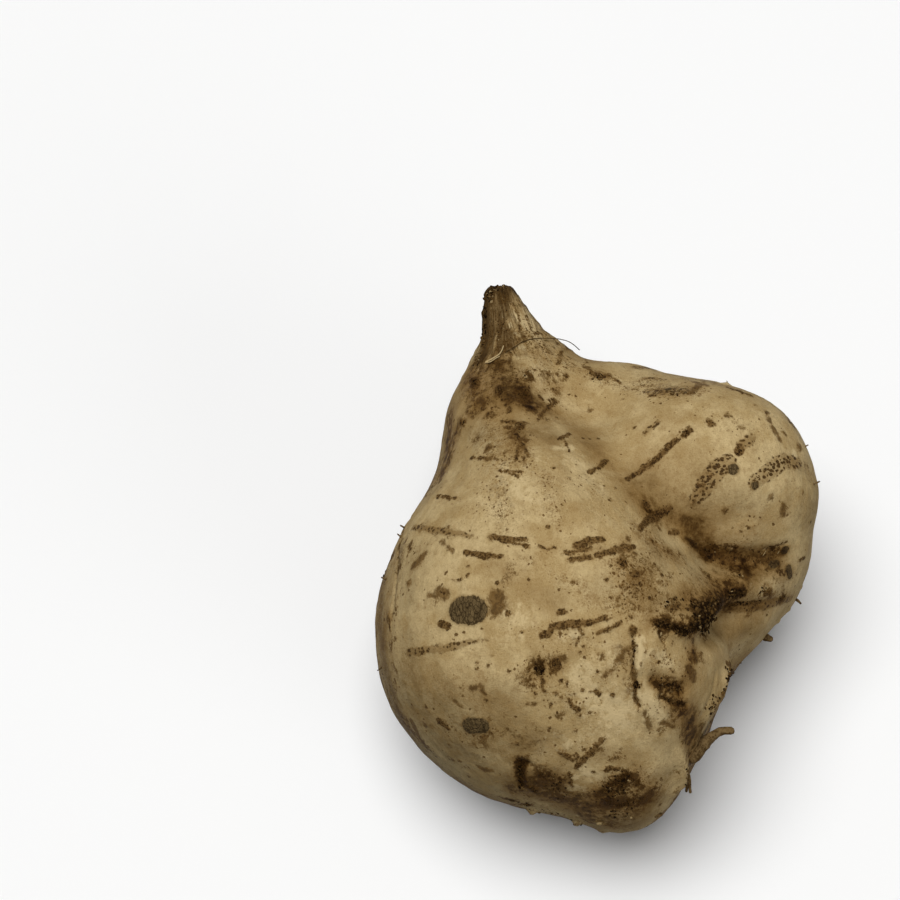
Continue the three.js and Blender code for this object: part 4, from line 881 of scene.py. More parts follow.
# ------------------------------------------------------------------ crumbs of dry soil and flakes of skin, small closed lumps that sit in the folds and pits
# (stroke, how many, least and greatest radius mm, greatest height over the skin mm, shade 0 dark .. 1 pale)
CRUMBS = [
    ([(694, 605, 6), (706, 606, 7.4), (717, 600, 5)], 210, 0.14, 0.46, 0.6, 0.26), ([(704, 611, 9), (700, 622, 9), (704, 631, 6)], 280, 0.14, 0.56, 0.9, 0.12),
    ([(656, 623, 3), (670, 627, 4.5), (684, 631, 6), (692, 627, 6)], 150, 0.12, 0.44, 0.45, 0.15), ([(668, 606, 5), (682, 600, 5)], 16, 0.15, 0.4, 0.2, 0.35), ([(714, 612, 6), (708, 622, 6)], 60, 0.2, 0.5, 0.5, 0.2),
    ([(728, 594, 4), (741, 592, 5)], 60, 0.2, 0.5, 0.5, 0.05), ([(724, 604, 3), (744, 603, 2.4), (760, 601, 2)], 40, 0.12, 0.32, 0.2, 0.25), ([(763, 592, 5)], 18, 0.15, 0.35, 0.2, 0.3), ([(781, 598, 4)], 16, 0.15, 0.35, 0.2, 0.3),
    ([(716, 547, 2.5), (735, 549, 3), (764, 552, 3), (784, 547, 3)], 14, 0.12, 0.3, 0.15, 0.25), ([(704, 549, 5), (714, 556, 6)], 26, 0.12, 0.36, 0.2, 0.2), ([(725, 558, 7), (760, 560, 7)], 22, 0.12, 0.36, 0.15, 0.35),
    ([(740, 573, 7)], 10, 0.12, 0.34, 0.15, 0.4), ([(660, 682, 5), (669, 686, 6), (678, 690, 4.4)], 60, 0.12, 0.34, 0.15, 0.5), ([(662, 697, 2), (672, 702, 2.5), (685, 704, 2)], 34, 0.14, 0.36, 0.2, 0.2),
    ([(633, 634, 2), (634, 652, 2), (633, 672, 1.6)], 34, 0.12, 0.32, 0.15, 0.2), ([(637, 685, 4)], 34, 0.15, 0.42, 0.3, 0.15), ([(521, 766, 5), (520, 777, 3.4), (522, 788, 3)], 70, 0.12, 0.36, 0.15, 0.12),
    ([(529, 787, 2), (537, 791, 2)], 14, 0.15, 0.34, 0.2, 0.15), ([(548, 778, 10), (560, 795, 12)], 70, 0.1, 0.32, 0.1, 0.4), ([(604, 795, 12), (626, 780, 10)], 150, 0.12, 0.42, 0.2, 0.3), ([(610, 812, 12), (636, 810, 10)], 80, 0.1, 0.34, 0.12, 0.4),
    ([(512, 803, 5), (545, 812, 5), (580, 826, 4)], 40, 0.14, 0.4, 0.2, 0.3), ([(539, 670, 6)], 50, 0.14, 0.4, 0.2, 0.15), ([(556, 665, 4)], 16, 0.12, 0.3, 0.1, 0.3), ([(727, 668, 4), (731, 682, 4), (722, 694, 3)], 46, 0.16, 0.5, 0.35, 0.3),
    ([(716, 696, 5), (708, 712, 5)], 34, 0.14, 0.42, 0.25, 0.5), ([(689, 768, 3), (688, 792, 4)], 44, 0.16, 0.46, 0.3, 0.35), ([(488, 300, 4), (494, 289, 5), (506, 286, 4)], 110, 0.16, 0.46, 0.3, 0.55),
    ([(485, 306, 2.4), (484, 330, 2.2), (483, 348, 2.4)], 90, 0.14, 0.4, 0.25, 0.15), ([(480, 352, 3), (476, 366, 3)], 34, 0.12, 0.36, 0.2, 0.25), ([(500, 312, 8), (503, 340, 8)], 50, 0.08, 0.26, 0.1, 0.6),
    ([(474, 383, 5)], 30, 0.12, 0.36, 0.15, 0.15), ([(499, 392, 4)], 16, 0.1, 0.3, 0.1, 0.2), ([(524, 395, 7)], 34, 0.1, 0.32, 0.1, 0.2), ([(528, 375, 5)], 16, 0.1, 0.28, 0.1, 0.3), ([(511, 427, 7), (520, 427, 6)], 24, 0.1, 0.28, 0.1, 0.2),
    ([(593, 375, 6), (604, 381, 5)], 36, 0.12, 0.34, 0.15, 0.2), ([(666, 391, 10), (684, 392, 8)], 40, 0.1, 0.28, 0.1, 0.25), ([(686, 433, 4)], 14, 0.12, 0.3, 0.15, 0.1), ([(650, 518, 7), (668, 509, 5)], 26, 0.1, 0.3, 0.1, 0.2),
    ([(647, 503.6, 2.6)], 6, 0.12, 0.3, 0.15, 0.05), ([(739, 452, 4)], 16, 0.12, 0.32, 0.15, 0.1), ([(692, 544, 4)], 8, 0.12, 0.32, 0.15, 0.15), ([(623, 563, 4)], 12, 0.1, 0.3, 0.1, 0.2), ([(462, 422, 3)], 10, 0.12, 0.3, 0.15, 0.05),
]
# thin flakes: (x, y, length px, width px, lean, shade)
FLAKES = [(731, 549.5, 6, 3.4, 1.1, 0.6), (764.5, 553, 7, 0.9, 1.2, 0.9), (778, 553, 7, 0.9, 1.2, 0.85), (599, 824, 6, 4, 0.6, 0.85), (577, 817, 3.4, 2.4, 0.5, 0.75), (547, 806.5, 3, 2, 0.4, 0.7), (661, 634, 5, 2.2, 1.3, 0.8),
          (641, 664, 6, 3, 1.5, 0.8), (517, 291, 7, 3, -0.9, 0.75), (503, 299, 4, 2.4, 0.5, 0.7), (484, 342, 5, 1.6, 1.4, 0.5), (731, 592, 4, 1.4, 0.4, 0.8), (699, 601, 3, 2, 0.8, 0.6), (711, 624, 3, 2, 2.0, 0.5),
          (727, 382, 4, 2.4, 0.7, 0.8), (630, 781, 5, 3, 0.6, 0.6), (610, 788, 4, 3, 2.2, 0.65), (437, 464, 6, 1.2, 1.5, 0.8)]
BALL, BALL_T = geodesic(2)
BALL1, BALL1_T = geodesic(1)
CV, CF, CSH, CUV = [], [], [], []
_cn = 0


def octa(tri_dirs):
    """Corners of small triangles of directions on a flat octahedron map, -1 to 1."""
    cen = tri_dirs.mean(1)
    sx = np.where(cen[:, 0] >= 0, 1.0, -1.0); sy = np.where(cen[:, 1] >= 0, 1.0, -1.0)
    up_half = cen[:, 2] >= 0
    x, y, z = tri_dirs[..., 0], tri_dirs[..., 1], tri_dirs[..., 2]
    den = np.abs(x) + np.abs(y) + np.abs(z)
    s_lo = sx[:, None] * x + sy[:, None] * y + np.abs(z)
    U = np.where(up_half[:, None], x / den, (1 - sy[:, None] * y / s_lo) * sx[:, None])
    W = np.where(up_half[:, None], y / den, (1 - sx[:, None] * x / s_lo) * sy[:, None])
    return np.stack([U, W], -1)


BALL_UV, BALL1_UV = octa(BALL[BALL_T]), octa(BALL1[BALL1_T])


def lump(centre, axes, size, shade, fine):
    global _cn
    D, T, W = (BALL, BALL_T, BALL_UV) if fine else (BALL1, BALL1_T, BALL1_UV)
    r = 0.78 + 0.44 * CR.random(len(D))
    V = centre + ((D * r[:, None]) * size) @ axes
    vol = np.einsum("ij,ij->i", V[T[:, 0]], np.cross(V[T[:, 1]], V[T[:, 2]])).sum()
    T = T if vol > 0 else T[:, ::-1]
    W = W if vol > 0 else W[:, ::-1]
    V[:, 2] = np.maximum(V[:, 2], 0.05)
    CV.append(V); CF.append(T + _cn); CSH.append(np.full(len(V), shade)); CUV.append(W)
    _cn += len(V)


def spun(n):
    """Three square axes, the third along n, turned at random about it."""
    a = CR.normal(size=3); a -= (a @ n) * n; a /= np.linalg.norm(a)
    return np.array([a, np.cross(n, a), n])


CR = np.random.default_rng(977)
for stroke, count, r0, r1, top, pale_ in CRUMBS:
    pts = [tuple(map(float, q)) for q in stroke]
    pts = pts if len(pts) > 1 else pts * 2
    seg = np.array([math.hypot(b[0] - a[0], b[1] - a[1]) * (a[2] + b[2]) + 0.01 for a, b in zip(pts[:-1], pts[1:])]); seg = np.cumsum(seg / seg.sum())
    for _ in range(count):
        k = min(int(np.searchsorted(seg, CR.random())), len(pts) - 2); t = CR.random()
        a, b = pts[k], pts[k + 1]; rr = a[2] + (b[2] - a[2]) * t
        f = 6.2832 * CR.random(); q = CR.random() ** 0.62
        x, y = a[0] + (b[0] - a[0]) * t + rr * q * math.cos(f), a[1] + (b[1] - a[1]) * t + rr * q * math.sin(f)
        size = r0 + (r1 - r0) * CR.random() ** 2.2
        shade = min(1.0, CR.random() ** 2 * 0.75 * (0.42 + pale_) + (0.45 + 0.35 * CR.random() if CR.random() < pale_ * 0.07 else 0.0))
        d = AXU * ((x - 450) / 1800) - AXV * ((y - 450) / 1800) - AXW; d /= np.linalg.norm(d)
        hit = FINE_TREE.ray_cast(Vector(CAM), Vector(d))
        if hit[0] is None or hit[1] @ Vector(-d) < 0.12:
            continue
        lift = min(top * CR.random() ** 1.5 * (1 - q * q), 0.42 * size)     # each crumb stays stuck to the skin
        n = np.array(hit[1]); pos = np.array(hit[0]) + n * (lift - 0.15 * size)
        n2 = n + 0.5 * CR.normal(size=3); n2 /= np.linalg.norm(n2)
        lump(pos, spun(n2), size * np.array([0.8 + 0.5 * CR.random(), 0.7 + 0.4 * CR.random(), 0.45 + 0.4 * CR.random()]), shade, size > 0.3)
for x, y, ln, wd, lean, shade in FLAKES:
    d = AXU * ((x - 450) / 1800) - AXV * ((y - 450) / 1800) - AXW; d /= np.linalg.norm(d)
    hit = FINE_TREE.ray_cast(Vector(CAM), Vector(d))
    if hit[0] is None:
        continue
    n = np.array(hit[1]); n = n + 0.35 * CR.normal(size=3); n /= np.linalg.norm(n); mm = mm_per_px(np.array(hit[0]))
    dr = AXU * math.cos(lean) + AXV * math.sin(lean); dr -= (dr @ n) * n; dr /= np.linalg.norm(dr)
    lump(np.array(hit[0]) + n * 0.05, np.array([dr, np.cross(n, dr), n]), np.array([ln * mm / 2, wd * mm / 2, 0.09]), shade, True)
# and a few on the sides that the camera doesn't see, where the seeded soil lies
HIDDEN_SPOTS = np.nonzero((FACING < 0.05) & (BASE[:, 2] > 3) & (A["soil"] > 0.25))[0]
for _ in range(160):
    k = int(HIDDEN_SPOTS[int(CR.random() * len(HIDDEN_SPOTS))])
    size = 0.12 + 0.3 * CR.random() ** 2
    lump(SKIN[k] + NRM[k] * 0.05, spun(NRM[k]), size * np.array([1.1, 0.8, 0.6]), 0.5 * CR.random(), size > 0.3)

# ------------------------------------------------------------------ the mesh
ALLV = np.concatenate(VERTS) * 0.001
ALLF = np.concatenate(FACES)
mesh = bpy.data.meshes.new("white_sweet_potato")
mesh.vertices.add(len(ALLV)); mesh.vertices.foreach_set("co", ALLV.astype(np.float32).ravel())
mesh.loops.add(len(ALLF) * 3); mesh.loops.foreach_set("vertex_index", ALLF.astype(np.int32).ravel())
mesh.polygons.add(len(ALLF)); mesh.polygons.foreach_set("loop_start", np.arange(0, len(ALLF) * 3, 3, dtype=np.int32))
mesh.polygons.foreach_set("use_smooth", np.ones(len(ALLF), dtype=bool))
mesh.update(calc_edges=True)

for name, val in A.items():
    far = 4.0 if name in ("scar", "blot", "scab", "comb", "band") else 0.0
    full = np.full(len(ALLV), far, dtype=np.float32); full[:NV] = val
    mesh.attributes.new(name, "FLOAT", "POINT").data.foreach_set("value", full)
rootv = np.concatenate(PART).astype(np.float32)
mesh.attributes.new("root", "FLOAT", "POINT").data.foreach_set("value", rootv)

# one flat map for the whole skin: an octahedron unfolded around the camera's side, and a strip for the tubes
uv = octa(UNI[TRI]) * 0.5 + 0.5
uv = 0.01 + uv * 0.93
uvs = np.zeros((len(ALLF), 3, 2)); uvs[:len(TRI)] = uv
row = 0.01
for start, nverts, sides, rings in UVX:
    sel = np.nonzero((ALLF[:, 0] >= start) & (ALLF[:, 0] < start + nverts))[0]
    loc = ALLF[sel] - start
    ring = np.minimum(loc // sides, rings) * 1.0; spoke = (loc % sides) * 1.0
    ring = np.where(loc == rings * sides, 0, np.where(loc == rings * sides + 1, rings - 1, ring))
    pole = loc >= rings * sides
    wrap = (spoke.max(1) - spoke.min(1) > sides / 2) & ~pole.any(1)
    spoke = np.where(wrap[:, None] & (spoke < sides / 2) & ~pole, spoke + sides, spoke)
    hgt = 0.030
    uvs[sel, :, 0] = 0.957 + 0.036 * spoke / sides
    uvs[sel, :, 1] = row + hgt * ring / rings
    row += hgt + 0.004
layer = mesh.uv_layers.new(name="OFBake")
layer.data.foreach_set("uv", uvs.astype(np.float32).ravel())

tuber = bpy.data.objects.new("tuber_skin", mesh)
bpy.context.scene.collection.objects.link(tuber)


# ------------------------------------------------------------------ skin material
def lin(r, g, b):
    f = lambda c: c / 12.92 if c <= 0.04045 else ((c + 0.055) / 1.055) ** 2.4
    return (f(r / 255), f(g / 255), f(b / 255), 1.0)


class Sig:
    def __init__(self, g, sock):
        self.g, self.sock = g, sock

    def __add__(self, o): return self.g.math("ADD", self, o)
    def __radd__(self, o): return self.g.math("ADD", o, self)
    def __sub__(self, o): return self.g.math("SUBTRACT", self, o)
    def __rsub__(self, o): return self.g.math("SUBTRACT", o, self)
    def __mul__(self, o): return self.g.math("MULTIPLY", self, o)
    def __rmul__(self, o): return self.g.math("MULTIPLY", o, self)


class Graph:
    def __init__(self, tree):
        self.t = tree

    def node(self, kind, **props):
        n = self.t.nodes.new(kind)
        for k, v in props.items():
            setattr(n, k, v)
        return n

    def put(self, sock, v):
        if isinstance(v, Sig):
            self.t.links.new(v.sock, sock)
        else:
            sock.default_value = v

    def math(self, op, a, b=0.0, clamp=False):
        n = self.node("ShaderNodeMath", operation=op, use_clamp=clamp)
        self.put(n.inputs[0], a); self.put(n.inputs[1], b)
        return Sig(self, n.outputs[0])

    def sm(self, x, a, b):
        n = self.node("ShaderNodeMapRange", interpolation_type="SMOOTHSTEP")
        self.put(n.inputs[0], x); n.inputs[1].default_value = a; n.inputs[2].default_value = b
        return Sig(self, n.outputs[0])

    def attr(self, name):
        n = self.node("ShaderNodeAttribute", attribute_name=name)
        return Sig(self, n.outputs["Fac"])

    def noise(self, vec, size, detail=2.0, rough=0.5, distort=0.0, color=False):
        n = self.node("ShaderNodeTexNoise")
        self.put(n.inputs["Vector"], vec); n.inputs["Scale"].default_value = 1.0 / size
        n.inputs["Detail"].default_value = detail; n.inputs["Roughness"].default_value = rough; n.inputs["Distortion"].default_value = distort
        return Sig(self, n.outputs["Color" if color else "Fac"])

    def cells(self, vec, size, feature="F1", rnd=1.0):
        n = self.node("ShaderNodeTexVoronoi", feature=feature)
        self.put(n.inputs["Vector"], vec); n.inputs["Scale"].default_value = 1.0 / size; n.inputs["Randomness"].default_value = rnd
        return Sig(self, n.outputs["Distance"]), (Sig(self, n.outputs["Color"]) if feature != "DISTANCE_TO_EDGE" else None)

    def mix(self, f, a, b, blend="MIX"):
        n = self.node("ShaderNodeMix", data_type="RGBA", blend_type=blend)
        self.put(n.inputs[0], f); self.put(n.inputs[6], a); self.put(n.inputs[7], b)
        return Sig(self, n.outputs[2])

    def pick(self, col, ch):
        n = self.node("ShaderNodeSeparateColor"); self.put(n.inputs[0], col)
        return Sig(self, n.outputs[ch])


mat = bpy.data.materials.new("root_skin_cork")
mat.use_nodes = True
mat.node_tree.nodes.clear()
g = Graph(mat.node_tree)
tc = g.node("ShaderNodeTexCoord")
sc = g.node("ShaderNodeVectorMath", operation="SCALE"); g.put(sc.inputs[0], Sig(g, tc.outputs["Object"])); sc.inputs["Scale"].default_value = 1000.0
p = Sig(g, sc.outputs[0])


def dot(v, axis):
    n = g.node("ShaderNodeVectorMath", operation="DOT_PRODUCT"); g.put(n.inputs[0], v); n.inputs[1].default_value = tuple(axis)
    return Sig(g, n.outputs["Value"])


def stretched(k):
    n = g.node("ShaderNodeCombineXYZ")
    g.put(n.inputs[0], dot(p, GX)); g.put(n.inputs[1], dot(p, GY)); g.put(n.inputs[2], dot(p, NECK_AX * k))
    return Sig(g, n.outputs[0])


def c0(n, k):
    return (n - 0.5) * k


def pushed(v, size, amount):
    n = g.noise(v, size, 2.0, 0.6, color=True)
    a = g.node("ShaderNodeVectorMath", operation="SUBTRACT"); g.put(a.inputs[0], n); a.inputs[1].default_value = (0.5, 0.5, 0.5)
    b = g.node("ShaderNodeVectorMath", operation="MULTIPLY_ADD"); g.put(b.inputs[0], Sig(g, a.outputs[0])); b.inputs[1].default_value = (amount * 2, amount * 2, amount * 2); g.put(b.inputs[2], v)
    return Sig(g, b.outputs[0])


fx, fy, fz, upper = [g.attr(k) for k in ("fibx", "fiby", "fibz", "upper")]


def flared(k):
    n = g.node("ShaderNodeCombineXYZ")
    g.put(n.inputs[0], fx); g.put(n.inputs[1], fy); g.put(n.inputs[2], fz * k)
    return Sig(g, n.outputs[0])


pl = stretched(0.42)        # long along the root
pf = flared(0.15)           # fibres
scar, blot, scab, comb, band = [g.attr(k) for k in ("scar", "blot", "scab", "comb", "band")]
veil_stain_and_shade, soil, speck, pale, grey, bark, neck, root, shade_and_dirt_film, shade = [g.attr(k) for k in ("veil_stain_and_shade", "soil", "speck", "pale", "grey", "bark", "neck", "root", "shade_and_dirt_film", "shade")]

pp = pushed(p, 0.8, 0.42)                      # small irregular outlines
pq = pushed(stretched(0.80), 0.9, 0.5)         # the same, a little longer along the root
n_big = g.noise(p, 26, 3, 0.55)
n_mid = g.noise(p, 6.5, 4, 0.6)
n_sml = g.noise(p, 1.9, 4, 0.62)
n_fin = g.noise(p, 0.55, 3, 0.65)
n_pix = g.noise(p, 0.27, 2, 0.75)
n_lng = g.noise(pl, 1.1, 3, 0.6)
n_fib = g.noise(pf, 1.35, 3, 0.62)
n_dir = g.noise(p, 10.5, 6, 0.66)
n_rag = g.noise(pp, 4.6, 9, 0.76)              # ragged at every scale
n_rg2 = g.noise(pq, 1.5, 7, 0.80)
n_rag = n_rag + (g.noise(pushed(flared(0.24), 0.8, 0.45), 3.0, 9, 0.78) - n_rag) * (upper * 0.85)
n_rg2 = n_rg2 + (g.noise(pushed(flared(0.34), 0.6, 0.35), 1.1, 7, 0.84) - n_rg2) * (upper * 0.8)

busy = 0.12 + 0.88 * g.sm(speck + c0(n_big, 0.5) + c0(n_mid, 0.6), -0.02, 0.80)      # how mottled the skin is
col = g.mix(g.sm(n_mid + c0(n_big, 0.9) + c0(n_sml, 0.35), 0.35, 0.65), lin(177, 151, 103), lin(200, 176, 128))
col = g.mix(g.sm(n_lng, 0.40, 0.68) * (0.22 + 0.18 * busy), col, lin(150, 122, 77))
col = g.mix(g.sm(n_dir + c0(n_sml, 0.45), 0.50, 0.70) * (0.30 + 0.20 * busy), col, lin(140, 111, 66))
col = g.mix(g.sm(n_rag + c0(n_dir, 0.8), 0.53, 0.60) * (0.34 * busy), col, lin(134, 105, 61))
col = g.mix(g.sm(n_rag + c0(n_dir, 0.8), 0.46, 0.40) * (0.30 * busy), col, lin(214, 193, 148))
col = g.mix(g.sm(n_sml + c0(n_mid, 0.5), 0.52, 0.74) * (0.14 + 0.28 * busy), col, lin(146, 117, 72))
col = g.mix(g.sm(n_rg2, 0.54, 0.66) * (0.05 + 0.60 * busy), col, lin(120, 92, 50))
col = g.mix(g.sm(n_fin, 0.53, 0.70) * (0.22 + 0.42 * busy), col, lin(118, 91, 50))
col = g.mix(g.sm(n_fin, 0.46, 0.28) * (0.10 + 0.26 * busy), col, lin(214, 191, 145))
col = g.mix(g.sm(n_pix, 0.50, 0.74) * (0.26 + 0.46 * busy), col, lin(104, 78, 41))
col = g.mix(g.sm(n_pix, 0.48, 0.27) * (0.16 + 0.28 * busy), col, lin(214, 192, 147))
# painted shade, partly fine dirt: an even grey multiply from the film strokes
col = g.mix(shade_and_dirt_film * (0.78 + c0(n_sml, 0.9)), col, lin(152, 146, 133), "MULTIPLY")
# veils of brown, partly real stain and partly painted shade: a smooth stain, ragged patches on it and darker spots in
# those
col = g.mix(g.sm(veil_stain_and_shade + c0(n_mid, 0.5), 0.02, 0.95) * 0.95, col, lin(168, 152, 124), "MULTIPLY")
vs = veil_stain_and_shade * 0.76 + c0(n_rag, 4.2) + c0(n_rg2, 2.6) + c0(n_mid, 0.7)
vgate = g.math("ADD", g.sm(veil_stain_and_shade, 0.03, 0.16), g.sm(busy, 0.25, 0.95) * 0.75, clamp=True)
vv = g.sm(vs, 0.40, 0.64) * vgate
col = g.mix(vv * 0.80, col, g.mix(g.sm(n_rg2 + c0(n_pix, 0.5), 0.42, 0.58), lin(124, 99, 60), lin(88, 65, 32)))
col = g.mix(g.sm(vs + c0(n_sml, 1.0), 0.80, 0.96) * vgate * 0.80, col, lin(56, 37, 11))
vm = g.sm(veil_stain_and_shade + neck * 0.40 + c0(n_mid, 0.4), 0.18, 0.55)
vp = n_sml + c0(n_rg2, 1.3) + c0(n_rag, 0.8)
col = g.mix(vm * g.sm(vp, 0.55, 0.61) * 0.68, col, lin(60, 41, 14))
col = g.mix(vm * g.sm(vp, 0.45, 0.38) * 0.58, col, lin(172, 146, 102))
# grey cast, partly painted shade along the left edge, the lower left and the underside
col = g.mix(grey * g.sm(n_sml + c0(n_lng, 0.5), 0.2, 0.75), col, g.mix(n_fin, lin(112, 95, 64), lin(86, 71, 44)))
col = g.mix(g.sm(pale + c0(n_rg2, 2.0) + c0(n_sml, 0.5), 0.16, 0.60) * g.math("ADD", g.sm(pale, 0.0, 0.15), busy * 0.6, clamp=True) * 0.80, col, lin(212, 189, 142))
# fibres of the neck and dark bark
fib = g.sm(n_fib + c0(n_fin, 0.3), 0.36, 0.66)
col = g.mix(neck * fib * 0.28, col, lin(120, 96, 56))
bks = bark + c0(n_fib, 0.9) + c0(n_rag, 2.6) + c0(n_sml, 0.3)
bk = g.sm(bks, 0.22, 0.62) * g.sm(bark, 0.02, 0.14)
col = g.mix(bk * 0.92, col, g.mix(g.sm(n_fib * 0.5 + n_rg2 * 0.5 + c0(n_pix, 0.25), 0.43, 0.58), lin(74, 54, 27), lin(128, 106, 71)))
col = g.mix(g.sm(bks + c0(n_rg2, 2.0), 0.72, 0.98) * 0.72, col, lin(52, 35, 13))
# fine specks
d1, c1 = g.cells(pq, 0.78)
live1 = g.sm(g.pick(c1, 0) - speck * 0.50 - busy * 0.05 - c0(n_mid, 0.2), 0.03, 0.005)
col = g.mix(live1 * g.sm(d1 - g.pick(c1, 1) * 0.18 - speck * 0.08 + c0(n_fin, 0.3), 0.22, 0.10) * 0.84, col, lin(86, 60, 26))
d3, c3 = g.cells(pp, 0.52)
live3 = g.sm(g.pick(c3, 2) - speck * 0.62 - busy * 0.06 - c0(n_dir, 0.3), 0.03, 0.0)
col = g.mix(live3 * g.sm(d3 + c0(n_pix, 0.3), 0.40, 0.22) * 0.58, col, lin(98, 72, 36))
d8, c8 = g.cells(pp, 0.70)
col = g.mix(g.sm(speck, 0.52, 0.86) * g.sm(g.pick(c8, 1) + c0(n_mid, 0.8), 0.62, 0.54) * g.sm(d8 - g.pick(c8, 0) * 0.20 + c0(n_fin, 0.7) + c0(n_pix, 0.25), 0.30, 0.16) * 0.84, col, lin(66, 46, 18))
d2, c2 = g.cells(pp, 2.4)
live2 = g.sm(g.pick(c2, 1) - speck * 0.16, 0.24, 0.20)
col = g.mix(live2 * g.sm(d2 - g.pick(c2, 0) * 0.10 + c0(n_fin, 0.2), 0.13, 0.06) * 0.86, col, lin(78, 55, 26))
# soft brown blotches
bl = g.sm(blot + c0(n_sml, 2.4) + c0(n_rg2, 3.0), 0.50, -0.45)
col = g.mix(bl * 0.84, col, g.mix(g.sm(n_rg2 + c0(n_fin, 0.3), 0.42, 0.58), lin(68, 47, 19), lin(108, 83, 46)))
# net-like cork
d4, c4 = g.cells(pushed(stretched(1.25), 0.8, 0.36), 1.06)
net = g.sm(d4 + c0(n_fin, 0.45) + c0(g.pick(c4, 0), 0.30), 0.52, 0.36)
cm = g.sm(comb + c0(n_sml, 2.0) + c0(n_rg2, 2.0), 0.42, -0.20)
col = g.mix(cm * 0.50, col, g.mix(g.sm(n_rg2, 0.45, 0.55), lin(108, 84, 47), lin(140, 115, 74)))
col = g.mix(cm * net * 0.92, col, g.mix(g.sm(n_fin, 0.4, 0.6), lin(48, 32, 13), lin(80, 58, 29)))
# dotted bands
d5, c5 = g.cells(pp, 1.05)
bd = g.sm(band + c0(n_sml, 2.2) + c0(n_rg2, 2.0), 0.35, -0.35)
col = g.mix(bd * 0.62, col, lin(116, 92, 54))
col = g.mix(bd * g.sm(d5 + c0(n_fin, 0.35) + c0(g.pick(c5, 0), 0.2), 0.46, 0.26) * 0.86, col, lin(58, 40, 17))
# grey scabs with fine cracks
d6, c6 = g.cells(pushed(stretched(0.5), 1.2, 0.5), 0.85, "DISTANCE_TO_EDGE")
sb = g.sm(scab + c0(n_sml, 1.3) + c0(n_rg2, 1.6), 0.14, -0.14)
col = g.mix(g.sm(scab + c0(n_sml, 1.3), 0.75, 0.0) * 0.40, col, lin(120, 97, 60))
col = g.mix(sb * 0.96, col, g.mix(g.sm(d6 + c0(n_fin, 0.1), 0.10, 0.02), g.mix(g.sm(n_rg2 + c0(n_pix, 0.4), 0.42, 0.58), lin(78, 66, 45), lin(106, 91, 64)), lin(46, 36, 20)))
# dark corky streaks
rag = c0(n_sml, 1.2) + c0(n_rg2, 2.4) + c0(n_fin, 0.4)
sk = g.sm(scar + rag, 0.20, -0.10)
ring = g.sm(scar + rag, 0.60, 0.0)
col = g.mix(ring * 0.30, col, lin(124, 97, 57))
col = g.mix(sk * 0.95, col, g.mix(g.sm(n_rg2 + c0(n_pix, 0.5), 0.40, 0.60), lin(50, 33, 12), lin(92, 68, 34)))
col = g.mix(sk * g.sm(d3 + c0(n_rg2, 1.6), 0.42, 0.56) * 0.55, col, lin(134, 109, 70))
col = g.mix(sk * g.sm(n_fin + c0(n_pix, 0.5), 0.44, 0.30) * 0.55, col, lin(34, 21, 7))
# loose soil: mottled brown round crumbly dark cores
sv = soil * 0.96 + c0(n_rag, 2.6) + c0(n_rg2, 4.2)
sgate = g.math("ADD", g.sm(soil, 0.02, 0.14), g.sm(busy, 0.25, 0.95) * 0.55, clamp=True)
soh = g.sm(sv + c0(n_mid, 0.4), 0.20, 0.46) * sgate
col = g.mix(soh * 0.86, col, g.mix(g.sm(n_rg2 + c0(n_pix, 0.6), 0.42, 0.58), lin(68, 47, 18), lin(114, 88, 49)))
so = g.sm(sv + c0(n_mid, 0.6), 0.68, 0.80) * g.sm(soil, 0.05, 0.2)
crumb = g.sm(n_rg2 + c0(n_fin, 0.6) + c0(n_pix, 0.5), 0.46, 0.62)
col = g.mix(so * 0.96, col, g.mix(crumb, lin(24, 12, 3), lin(78, 55, 24)))
d7, c7 = g.cells(pp, 0.75)
col = g.mix(so * g.sm(d7, 0.22, 0.12) * g.sm(g.pick(c7, 0), 0.12, 0.09) * 0.85, col, lin(160, 136, 96))
# painted shade, with some brown stain: a smooth multiply, deepest in the folds
sh = shade * (1.0 + c0(n_mid, 1.0) + c0(n_sml, 0.9) + c0(n_rg2, 0.8)) * (1.0 - so * 0.8 - sk * 0.25)
painted_shade_and_stain_clamped = g.math("ADD", sh, 0.0, clamp=True)
col = g.mix(painted_shade_and_stain_clamped, col, (0.64, 0.575, 0.475, 1.0), "MULTIPLY")
col = g.mix(painted_shade_and_stain_clamped, col, (0.64, 0.575, 0.475, 1.0), "MULTIPLY")
col = g.mix(g.sm(sh, 0.55, 1.05), col, (0.41, 0.355, 0.255, 1.0), "MULTIPLY")
bw = g.node("ShaderNodeRGBToBW"); g.put(bw.inputs[0], col)
col = g.mix(g.sm(Sig(g, bw.outputs[0]), 0.34, 0.03), col, (1.0, 0.915, 0.78, 1.0), "MULTIPLY")
# dry roots
rt = g.sm(root, 0.05, 0.2)
rc = g.mix(g.sm(n_rg2 + c0(n_fin, 0.6), 0.42, 0.60), lin(118, 96, 62), lin(76, 57, 31))
rc = g.mix(g.sm(root, 1.0, 1.5), rc, lin(196, 172, 126))
rc = g.mix(g.sm(root, 0.62, 0.5), rc, lin(58, 41, 20))
col = g.mix(rt, col, rc)

